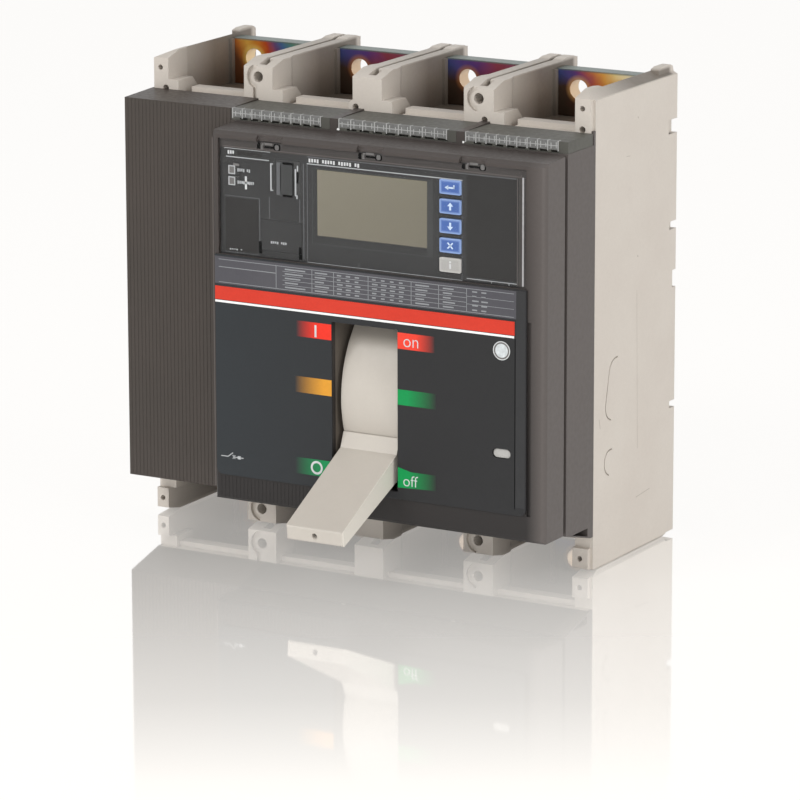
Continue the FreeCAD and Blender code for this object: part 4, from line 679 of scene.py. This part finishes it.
def plate_marks():
    """The coloured marks, the last with a slanted outline."""
    for name, (material, *sides) in PLATE_MARKS.items():
        flat_piece(name, [box_points(*sides)], material, PLATE_FRONT)
    slanted = [(SLOT_RIGHT, -84), (74, -83), (74, -74.5), (58, -74.5), (SLOT_RIGHT, -72.5)]
    flat_piece("mark_off_right", [slanted], "green_fade_right", PLATE_FRONT)


def plate_signs():
    """I and O with their words, printed on the marks."""
    front = PLATE_FRONT - PRINT
    flat_piece("sign_one", [box_points(-2.3, -1.1, -5.9, 0.8)], "print_dim", front)
    ring_piece("sign_zero", (-1.4, -79.4), 3.8, 2.6, "print_dim", front)
    word("word_on", "on", 53.6, -5.0, 4.5, "print_dim", front)
    word("word_off", "off", 53.4, -82.7, 6.1, "print_dim", front)


def breaker_symbol():
    """The circuit symbol at the lower left of the plate."""
    z = -80.0
    stroke = 0.5
    flat_piece("breaker_symbol", [
        line_points((-63.1, z), (-58.6, z), stroke), line_points((-58.6, z), (-55.4, z + 2.4), stroke),
        line_points((-55.6, z - 1.0), (-54.0, z + 1.1), stroke),
        line_points((-55.6, z + 1.1), (-54.0, z - 1.0), stroke),
        line_points((-54.6, z), (-52.4, z), stroke), box_points(-52.4, -50.4, z - 0.9, z + 0.9),
        line_points((-50.2, z), (-48.6, z), stroke),
    ], "print_line", PLATE_FRONT)


def mark_and_stripe():
    """Rim of the round mark and the line under the stripe."""
    centre = (114.0, -0.4)
    ring_piece("mark_rim_inner", centre, 4.7, 3.85, "clip_grey", PLATE_FRONT)
    ring_piece("mark_rim_outer", centre, 5.2, 4.7, "print_dim", PLATE_FRONT)
    flat_piece("stripe_line", [box_points(-65.9, 121.6, 7.2, 8.4)], "print_white", PLATE_FRONT)


def plate_borders():
    """Borders of the plate and of the raised cover, and painted highlights along their left edges."""
    band = box_points(122.8, 128.4, -86.0, 33.0)
    line = box_points(122.0, 122.5, -87.0, 7.0)
    flat_piece("plate_right_band", [band], "edge_plate", PLATE_FRONT, BORDER)
    flat_piece("plate_border_lines", [line], "gap_black", PLATE_FRONT, BORDER)
    # Painted highlights: light lines along the left edges of the cover and the plate
    flat_piece("cover_left_highlights", [
        box_points(-67.7, -67.1, -98.0, 99.0), box_points(-66.5, -66.1, -86.0, 33.0),
    ], "soft_highlight", box_mm("front_cover")[0].y)


def slot_wall():
    """The wall seen inside the lever's slot, given along Y and Z."""
    outline = [(-152.4, 5.0), (-152.4, -86.0), (-146.0, -88.0), (-112.0, -88.0), (-112.0, 5.0)]
    side_piece("slot_wall", [outline], "slot_grey", 7.6, 0.6)


# Rating label, a grid with plain bars where the real one is printed

LABEL_LEFT, LABEL_RIGHT = -63.4, 121.4
LABEL_BOTTOM, LABEL_TOP = 18.8, 31.3
LABEL_COLUMNS = (-26.6, -3.8, 9.9, 31.6, 58.4, 75.4, 92.6)
LABEL_ROWS = 5
LABEL_PITCH = 2.5
# Bars of each column: where they start, how many stand side by side and how long they are
LABEL_BARS = (
    (-21, 1, 13.0), (-2, 1, 9.0), (12, 3, 3.6), (34, 4, 3.6), (61, 1, 8.5), (78, 1, 7.5), (96, 2, 4.0),
)
BAR_PITCH = 5.6
BAR_HEIGHT = 0.75


def level_line(left, right, z):
    """A thin line of the label's grid from left to right."""
    return box_points(left, right, z - 0.12, z + 0.12)


def label_grid():
    """Lines between the columns and rows of the label."""
    first, last = LABEL_COLUMNS[0], LABEL_COLUMNS[-1]
    lines = [
        box_points(LABEL_LEFT, LABEL_RIGHT, LABEL_TOP, LABEL_TOP + 0.3),
        box_points(LABEL_LEFT, LABEL_RIGHT, LABEL_BOTTOM - 0.3, LABEL_BOTTOM),
        box_points(LABEL_LEFT, first, 27.0, 27.4),
    ]
    lines += [box_points(x - 0.16, x + 0.16, LABEL_BOTTOM + 0.1, LABEL_TOP) for x in LABEL_COLUMNS]
    lines += [level_line(-22.5, last, LABEL_BOTTOM + LABEL_PITCH * row) for row in range(1, LABEL_ROWS)]
    lines += [level_line(last, LABEL_RIGHT, z) for z in (23.0, 27.2)]
    flat_piece("label_grid", lines, "print_label", PLATE_FRONT)


def label_bars():
    """Bars of uneven length in the fields of the label."""
    bars = []
    for column, (left, count, length) in enumerate(LABEL_BARS):
        for row in range(LABEL_ROWS):
            z = LABEL_BOTTOM + 0.8 + LABEL_PITCH * row
            reach = length * (1 - 0.12 * ((row * 3 + column) % 4))
            for start in (left + BAR_PITCH * step for step in range(count)):
                bars.append(box_points(start, start + reach, z, z + BAR_HEIGHT))
    flat_piece("label_bars", bars, "print_label", PLATE_FRONT)


# Trip unit

FASCIA_FRONT = box_mm("unit_fascia")[0].y
LENS_FRONT = FASCIA_FRONT - 0.3
BLOCK_HEIGHT = 0.35
BLOCK_FRONT = FASCIA_FRONT - BLOCK_HEIGHT
# The field that holds the display and the keys
FIELD_LEFT, FIELD_RIGHT = -8.4, 88.3
FIELD_BOTTOM, FIELD_TOP = 34.8, 89.1
# The cover's bands above and to the right of the unit
BAND_BOTTOM, BAND_TOP = 93.6, 98.6
BAND_RIGHT = 129.8
LENS_HEIGHTS = (81.6, 75.4)


def unit_bands():
    """Bands of the cover's resin above and to the right of the unit."""
    top = box_points(-64.6, BAND_RIGHT, BAND_BOTTOM, BAND_TOP)
    right = box_points(122.6, BAND_RIGHT, 34.0, BAND_BOTTOM)
    flat_piece("unit_top_band", [top], "cover_band", FASCIA_FRONT)
    flat_piece("unit_right_band", [right], "cover_band", FASCIA_FRONT)


def unit_lines():
    """Printed lines of the unit, bright and soft."""
    flat_piece("unit_lines", [
        box_points(-59.9, -32.4, 88.5, 89.0),
        box_points(FIELD_LEFT, FIELD_RIGHT, FIELD_TOP, FIELD_TOP + 0.5),
        box_points(FIELD_LEFT, FIELD_RIGHT, FIELD_BOTTOM - 0.2, FIELD_BOTTOM + 0.1),
        box_points(91.0, 121.4, 36.0, 36.4), box_points(106.0, 106.3, FIELD_BOTTOM, 36.3),
        box_points(116.6, 117.0, FIELD_BOTTOM, 36.3), box_points(-61.0, -31.5, 93.3, 93.6),
    ], "print_line", FASCIA_FRONT)
    flat_piece("unit_soft_lines", [
        box_points(FIELD_LEFT, FIELD_LEFT + 0.4, FIELD_BOTTOM, FIELD_TOP),
        box_points(FIELD_RIGHT - 0.4, FIELD_RIGHT, FIELD_BOTTOM, FIELD_TOP),
        box_points(-10.8, -10.3, 36.0, 89.0), box_points(-60.8, -38.6, 66.8, 67.1),
        box_points(-38.9, -38.4, 36.5, 67.1), box_points(-32.5, -32.1, 56.5, 68.6),
        box_points(-61.0, -39.5, 35.3, 35.6), box_points(24.0, 24.4, 34.6, 37.6),
        box_points(-8.4, 121.0, 92.9, 93.4), box_points(-13.2, -12.8, 56.0, 69.0),
    ], "print_soft", FASCIA_FRONT)


def unit_areas():
    """Dark areas of the fascia and the dark frame of the display."""
    flat_piece("unit_dark_areas", [
        box_points(-52.6, -37.2, 90.2, 92.2, 0.5), box_points(91.0, 122.4, 37.4, 92.6, 0.8),
        box_points(-60.4, -39.4, 36.4, 66.0, 0.8), box_points(40.0, 62.0, 92.0, 92.8),
    ], "panel_dark", FASCIA_FRONT, 0.07)
    left, right, bottom, top = -4.4, 70.4, 46.0, 86.9
    outer_left, outer_bottom, outer_top = left - 0.8, bottom - 0.8, top + 0.7
    flat_piece("unit_frame", [
        box_points(left, right, top, outer_top), box_points(left, right, outer_bottom, bottom),
        box_points(outer_left, left, outer_bottom, outer_top), box_points(right - 3.8, right, bottom, top),
    ], "print_dark", FASCIA_FRONT, 0.08)


def unit_words():
    """Rows of small bars for the unit's printed words, and a cross beside the connector."""
    headings = letter_blocks(-58.8, -53.4, 90.2, 92.2, 1.5)
    headings += letter_blocks(-7.2, 26.0, 90.2, 92.3, 1.7, 0.65)
    cross = [box_points(-47.9, -46.6, 71.4, 78.6), box_points(-50.2, -44.4, 74.4, 75.7)]
    flat_piece("unit_marks", headings + cross, "print_dim", FASCIA_FRONT)
    rows = (
        (-52.4, -43.4, 80.9, 82.7, 1.2), (-52.4, -41.4, 74.1, 75.9, 1.2),
        (-31.4, -20.2, 42.8, 44.2, 1.3), (-57.8, -48.0, 36.8, 37.6, 1.4),
    )
    small = [block for row in rows for block in letter_blocks(*row)]
    flat_piece("unit_small_marks", small, "print_line", BLOCK_FRONT)


def status_lamps():
    """A frame, a window and a dark ground round each status lens."""
    left, window_left, window_right, right = -58.3, -57.6, -54.6, -53.9
    for index, z in enumerate(LENS_HEIGHTS):
        number = str(index)
        bottom, window_bottom, window_top, top = z - 2.4, z - 1.8, z + 1.8, z + 2.4
        ring = [
            box_points(left, right, window_top, top), box_points(left, right, bottom, window_bottom),
            box_points(left, window_left, window_bottom, window_top),
            box_points(window_right, right, window_bottom, window_top),
        ]
        window = box_points(window_left, window_right, window_bottom, window_top)
        ground = box_points(right, right + 3.0, bottom, top)
        flat_piece("lamp_frame_" + number, ring, "print_line", LENS_FRONT)
        flat_piece("lamp_window_" + number, [window], "clip_grey", LENS_FRONT)
        flat_piece("lamp_ground_" + number, [ground], "fascia_grey", LENS_FRONT)


def test_connector():
    """The test connector's brackets, block and slots."""
    flat_piece("connector_brackets", [
        box_points(-31.6, -30.7, 72.2, 87.4), box_points(-30.7, -29.8, 86.8, 87.4),
        box_points(-30.7, -29.8, 72.2, 72.8), box_points(-16.0, -15.1, 70.6, 85.6),
        box_points(-15.1, -14.3, 69.2, 71.2), box_points(-14.6, -13.9, 84.4, 87.6),
    ], "print_line", FASCIA_FRONT, 0.2, soften=0.05)
    block = box_points(-27.8, -17.0, 69.9, 89.0, 0.5)
    flat_piece("connector_block", [block], "print_dark", FASCIA_FRONT, BLOCK_HEIGHT, soften=0.12)
    flat_piece("connector_side", [box_points(-27.4, -25.2, 70.4, 88.4)], "print_soft", BLOCK_FRONT)
    flat_piece("connector_slots", [
        box_points(-23.6, -17.3, 87.5, 88.9, 0.4), box_points(-23.6, -17.3, 69.6, 70.9, 0.4),
        box_points(-17.3, -16.9, 70.5, 88.5), box_points(-25.2, -24.8, 73.0, 87.0),
    ], "gap_black", BLOCK_FRONT)


def rating_plug():
    """The plug's face and the slots at its ends."""
    face = box_points(-37.9, -11.6, 38.9, 55.6, 0.8)
    flat_piece("plug_face", [face], "fascia_grey", FASCIA_FRONT, 0.3, soften=0.1)
    flat_piece("plug_slots", [
        box_points(-39.0, -37.2, 36.6, 43.4, 0.3), box_points(-13.6, -11.8, 35.6, 42.6, 0.3),
    ], "gap_black", FASCIA_FRONT, 0.36)


# Clear cover

CLIP_PLACES = (-38.9, 25.0, 89.0)
CLIP_BOTTOM = 94.3
CLIP_RISE = 0.6
CLIP_TOP = BAND_TOP - 0.1


def cover_clips():
    """Hinge clips of the clear cover, in the band above the unit."""
    for index, x in enumerate(CLIP_PLACES):
        number = str(index)
        z = CLIP_BOTTOM + CLIP_RISE * index
        slot = [
            (x - 1.1, z + 0.2), (x + 0.9, z), (x + 0.9, z + 2.6),
            (x + 1.5, CLIP_TOP), (x - 0.5, CLIP_TOP), (x - 1.1, z + 2.2),
        ]
        curl = [
            (x + 1.6, z + 0.4), (x + 2.9, z + 0.2), (x + 2.5, z + 2.2),
            (x + 3.4, z + 3.6), (x + 2.4, z + 3.8), (x + 1.5, z + 2.2),
        ]
        bar = box_points(x + 3.8, x + 8.8, z + 2.9, z + 4.1, 0.4)
        under_bar = box_points(x + 3.4, x + 9.4, z + 1.2, z + 2.4, 0.3)
        round_loop = box_points(x + 9.4, x + 13.9, z + 0.2, CLIP_TOP, 1.4)
        loop = box_points(x + 10.4, x + 12.9, z + 0.6, z + 3.5, 1.0)
        flat_piece("clip_slot_" + number, [slot], "gap_black", FASCIA_FRONT, 0.1)
        flat_piece("clip_curl_" + number, [curl], "clip_grey", FASCIA_FRONT, 0.14)
        flat_piece("clip_bar_" + number, [bar], "clip_grey", FASCIA_FRONT, 0.12)
        flat_piece("clip_shade_" + number, [under_bar, round_loop], "gap_black", FASCIA_FRONT, 0.1)
        flat_piece("clip_loop_" + number, [loop], "clip_grey", FASCIA_FRONT, 0.16)


def clear_cover_highlights():
    """Painted highlights on the edges of the clear cover, which move with it."""
    body = "clear_cover"
    front = box_mm(body)[0].y
    # Painted highlights: a bright line down the lid's right edge, softer lines beside it and along its top
    flat_piece("lid_highlight", [box_points(126.3, 127.3, 36.0, 95.0, 0.4)], "edge_highlight", front, BORDER, body)
    flat_piece("lid_edge_soft", [
        box_points(123.2, 123.6, 36.0, 94.0), box_points(-60.0, 126.3, 94.9, 95.3),
    ], "soft_highlight", front, BORDER, body)


# Combs on the auxiliary terminal rows

AUX_ROWS = 3
AUX_FRONT = box_mm("aux_terminals_1")[0].y
AUX_TOP = box_mm("aux_terminals_1")[1].z
COMB_WAYS = 9
COMB_MARGIN_LEFT = 0.4
COMB_MARGIN_RIGHT = 5.6
COMB_BACK = -126.0
RIB_WIDTH = 0.6


def comb_panel(number, left, right):
    """A thin panel on the front and the top edge of a row."""
    blocks_piece("comb_panel_" + number, [
        ((left, right), (AUX_FRONT - 0.08, AUX_FRONT), (106.2, AUX_TOP + 0.05)),
        ((left, right), (AUX_FRONT, COMB_BACK), (AUX_TOP, AUX_TOP + 0.05)),
    ], "comb_panel")


def comb_ribs(number, left, right):
    """Ribs between the ways, a bar across them and two pins in each way."""
    pitch = (right - left - RIB_WIDTH) / COMB_WAYS
    ribs = []
    for step in range(COMB_WAYS + 1):
        start = left + pitch * step
        across = (start, start + RIB_WIDTH)
        ribs.append((across, (AUX_FRONT - 0.25, AUX_FRONT - 0.05), (105.6, AUX_TOP + 0.2)))
        ribs.append((across, (AUX_FRONT - 0.05, COMB_BACK + 0.2), (AUX_TOP + 0.02, AUX_TOP + 0.2)))
    ribs.append(((left, right), (AUX_FRONT - 0.14, AUX_FRONT - 0.06), (108.3, 108.7)))
    for step in range(2 * COMB_WAYS):
        start = left + 2.0 + pitch / 2 * step
        if start < right - 1:
            height = (106.8 + 0.5 * (step % 2), 109.6 + 0.4 * (step % 3))
            ribs.append(((start, start + 0.5), (AUX_FRONT - 0.12, AUX_FRONT - 0.06), height))
    blocks_piece("comb_ribs_" + number, ribs, "comb_grey")


def combs():
    """A comb on each row, and the small lamps between the rows."""
    for index in range(AUX_ROWS):
        low, high = box_mm("aux_terminals_" + str(index + 1))
        ends = (low.x + COMB_MARGIN_LEFT, high.x - COMB_MARGIN_RIGHT)
        comb_panel(str(index), *ends)
        comb_ribs(str(index), *ends)
    lamps = [box_points(-2.4, -0.9, 104.7, 105.9, 0.4), box_points(75.8, 77.0, 104.8, 105.9, 0.4)]
    flat_piece("comb_lamps", lamps, "print_white", AUX_FRONT, 0.3)


# Right side of the base


def side_marks():
    """Faint marks, given along Y and Z."""
    side_piece("side_marks", [
        line_points((-46.9, 15.0), (-44.6, -75.0), 0.35), line_points((-45.9, -102.6), (-29.3, -101.2), 0.45),
        line_points((-46.9, 34.6), (-45.6, 33.6), 0.9), line_points((-60.5, 92.0), (-56.0, 91.6), 0.4),
        line_points((-47.6, 112.0), (-46.6, 111.0), 0.9), line_points((-90.6, -48.8), (-89.2, -54.4), 0.5),
    ], "seam_beige", box_mm("base")[1].x, 0.02)


# Hole in the lever's tip

LEVER_AXIS = (29.1, -91.5, -40.0)
LEVER_ANGLE = math.radians(27.5)
TIP_HOLE_REACH = 129.6
TIP_HOLE_DROP = 1.0
TIP_HOLE_RADIUS = 1.55
TIP_HOLE_STEPS = 20


def tip_hole_shade():
    """A black disc of painted shade at the bottom of the hole in the lever's tip, which moves with the lever.
    """
    cosine, sine = math.cos(LEVER_ANGLE), math.sin(LEVER_ANGLE)
    rim = []
    for across, rise in arc_points((0, -TIP_HOLE_DROP), TIP_HOLE_RADIUS, 0, 360, TIP_HOLE_STEPS)[:-1]:
        y = -TIP_HOLE_REACH * cosine - rise * sine
        z = -TIP_HOLE_REACH * sine + rise * cosine
        rim.append(mm(LEVER_AXIS[0] + across, LEVER_AXIS[1] + y, LEVER_AXIS[2] + z))
    work = bmesh.new()
    add_prism(work, rim, [point + mm(0, 0.35, 0.18) for point in rim])
    bmesh.ops.recalc_face_normals(work, faces=work.faces)
    close_piece("tip_hole_shade", work, "gap_black", "lever")


# Signs on the keys


def enter_sign(x, z):
    return [
        line_points((x - 1.8, z - 0.3), (x + 2.7, z - 0.3), 0.9),
        line_points((x + 2.3, z - 0.4), (x + 2.3, z + 1.3), 0.8),
        [(x - 3.4, z - 0.3), (x - 1.2, z - 1.6), (x - 1.2, z + 1.0)],
    ]


def arrow_sign(x, z, flip):
    """An arrow that points up where flip is 1, and down where it is -1."""
    head = [(x - 1.8, z + 0.2 * flip), (x + 1.8, z + 0.2 * flip), (x, z + 2.3 * flip)]
    bottom, top = sorted((z - 2.0 * flip, z + 0.3 * flip))
    return [head, box_points(x - 0.6, x + 0.6, bottom, top)]


def cross_sign(x, z):
    return [
        line_points((x - 1.6, z - 1.6), (x + 1.6, z + 1.6), 0.8),
        line_points((x - 1.6, z + 1.6), (x + 1.6, z - 1.6), 0.8),
    ]


def info_sign(x, z):
    stem = box_points(x - 0.5, x + 0.5, z - 2.0, z + 0.7)
    dot = box_points(x - 0.6, x + 0.6, z + 1.2, z + 2.2, 0.3)
    return [stem, dot]


KEY_SIGNS = {
    "enter": enter_sign,
    "up": lambda x, z: arrow_sign(x, z, 1),
    "down": lambda x, z: arrow_sign(x, z, -1),
    "escape": cross_sign,
    "info": info_sign,
}


def key_signs():
    """A sign in the middle of each key, which moves with it."""
    for name, sign in KEY_SIGNS.items():
        key = "key_" + name
        low, high = box_mm(key)
        middle = (low + high) / 2
        material = "print_dim" if name == "info" else "print_key"
        flat_piece("sign_" + name, sign(middle.x, middle.z), material, low.y, body=key)


plate_marks()
plate_signs()
breaker_symbol()
mark_and_stripe()
label_grid()
label_bars()
unit_bands()
unit_lines()
unit_areas()
unit_words()
status_lamps()
test_connector()
rating_plug()
cover_clips()
clear_cover_highlights()
plate_borders()
slot_wall()
combs()
side_marks()
tip_hole_shade()
key_signs()


# Floor

FLOOR_REACH = 9.0
FLOOR_GAP = 0.2 * MM
# Direction from the object towards the camera, along the floor
FLOOR_AHEAD = (0.498, -0.867)
# How far ahead the mirror image is gone, and its strength along the way
MIRROR_REACH = 0.6
MIRROR_FADE = ((0.15, 0.62), (0.35, 0.5), (0.65, 0.3), (0.867, 0.05), (0.94, 0.0))


def floor_shade():
    """A white glossy floor whose mirror image fades away in front of the object, with a faint shadow."""
    shade = Shade("floor")
    shade.set(Base_Color=grey(0.97), Roughness=0.6, Specular_IOR_Level=0.0)
    glow = shade.node("Emission", Strength=1.0, Color=(0.83, 0.805, 0.77, 1))
    shaded = shade.node("BsdfDiffuse", Color=(0.25, 0.243, 0.233, 1))
    white = shade.node("AddShader")
    shade.link(glow.outputs["Emission"], white.inputs[0])
    shade.link(shaded.outputs["BSDF"], white.inputs[1])
    rays = shade.node("LightPath").outputs
    seen = shade.math("MAXIMUM", rays["Is Camera Ray"], rays["Is Glossy Ray"])
    seen = shade.math("MAXIMUM", seen, rays["Is Transmission Ray"])
    matt = shade.node("MixShader")
    shade.link(seen, matt.inputs["Fac"])
    shade.link(shade.shader.outputs["BSDF"], matt.inputs[1])
    shade.link(white.outputs["Shader"], matt.inputs[2])
    mirror = shade.node("BsdfGlossy", Roughness=0.04, Color=(0.98, 0.98, 0.98, 1))
    ahead_x = shade.times(shade.axis("X"), FLOOR_AHEAD[0])
    ahead_y = shade.times(shade.axis("Y"), FLOOR_AHEAD[1])
    ahead = shade.span(shade.plus(ahead_x, ahead_y), 0.0, MIRROR_REACH)
    strength = shade.ramp(ahead, *[(place, grey(level)) for place, level in MIRROR_FADE])
    blend = shade.node("MixShader")
    shade.link(strength, blend.inputs["Fac"])
    shade.link(matt.outputs["Shader"], blend.inputs[1])
    shade.link(mirror.outputs["BSDF"], blend.inputs[2])
    shade.link(blend.outputs["Shader"], shade.output.inputs["Surface"])
    return shade


def add_floor():
    """The floor just below the object."""
    z = cad_box[0][2] - FLOOR_GAP
    corners = [(x * FLOOR_REACH, y * FLOOR_REACH, z) for x, y in ((-1, -1), (1, -1), (1, 1), (-1, 1))]
    mesh = bpy.data.meshes.new("floor")
    mesh.from_pydata(corners, [], [(0, 1, 2, 3)])
    floor = bpy.data.objects.new("floor", mesh)
    bpy.context.scene.collection.objects.link(floor)
    mesh.materials.append(floor_shade().material)


# World and lamps

WORLD_LEVEL = 0.40
# Each lamp: its place and what it points at, in metres, its width and height, and its power in watts
LAMPS = {
    "key": ((-0.9, -2.2, 1.7), (0, 0, 0), (1.2, 1.2), 38),
    "low": ((0.9, -1.9, 0.12), (0, 0, -0.05), (1.0, 0.5), 8),
    "fill": ((2.4, -0.6, 1.2), (0, 0, 0), (1.6, 1.6), 32),
}


def white_world():
    """A plain white world, seen as pure white and lighting the object at a lower level."""
    world = bpy.data.worlds.new("world")
    bpy.context.scene.world = world
    world.use_nodes = True
    tree = world.node_tree
    rays = tree.nodes.new("ShaderNodeLightPath").outputs
    seen = rays["Is Camera Ray"]
    for kind in ("Is Glossy Ray", "Is Transmission Ray"):
        either = tree.nodes.new("ShaderNodeMath")
        either.operation = "MAXIMUM"
        tree.links.new(seen, either.inputs[0])
        tree.links.new(rays[kind], either.inputs[1])
        seen = either.outputs[0]
    strength = tree.nodes.new("ShaderNodeMapRange")
    tree.links.new(seen, strength.inputs["Value"])
    strength.inputs["To Min"].default_value = WORLD_LEVEL
    strength.inputs["To Max"].default_value = 1.0
    background = tree.nodes["Background"]
    background.inputs["Color"].default_value = (1, 1, 1, 1)
    tree.links.new(strength.outputs["Result"], background.inputs["Strength"])


def add_lamp(name, place, aim, size, power):
    data = bpy.data.lights.new(name, "AREA")
    data.shape = "RECTANGLE"
    data.size, data.size_y = size
    data.energy = power
    item = bpy.data.objects.new(name, data)
    item.location = place
    item.rotation_euler = (Vector(aim) - Vector(place)).to_track_quat("-Z", "Y").to_euler()
    bpy.context.scene.collection.objects.link(item)


add_floor()
white_world()
for name, values in LAMPS.items():
    add_lamp(name, *values)
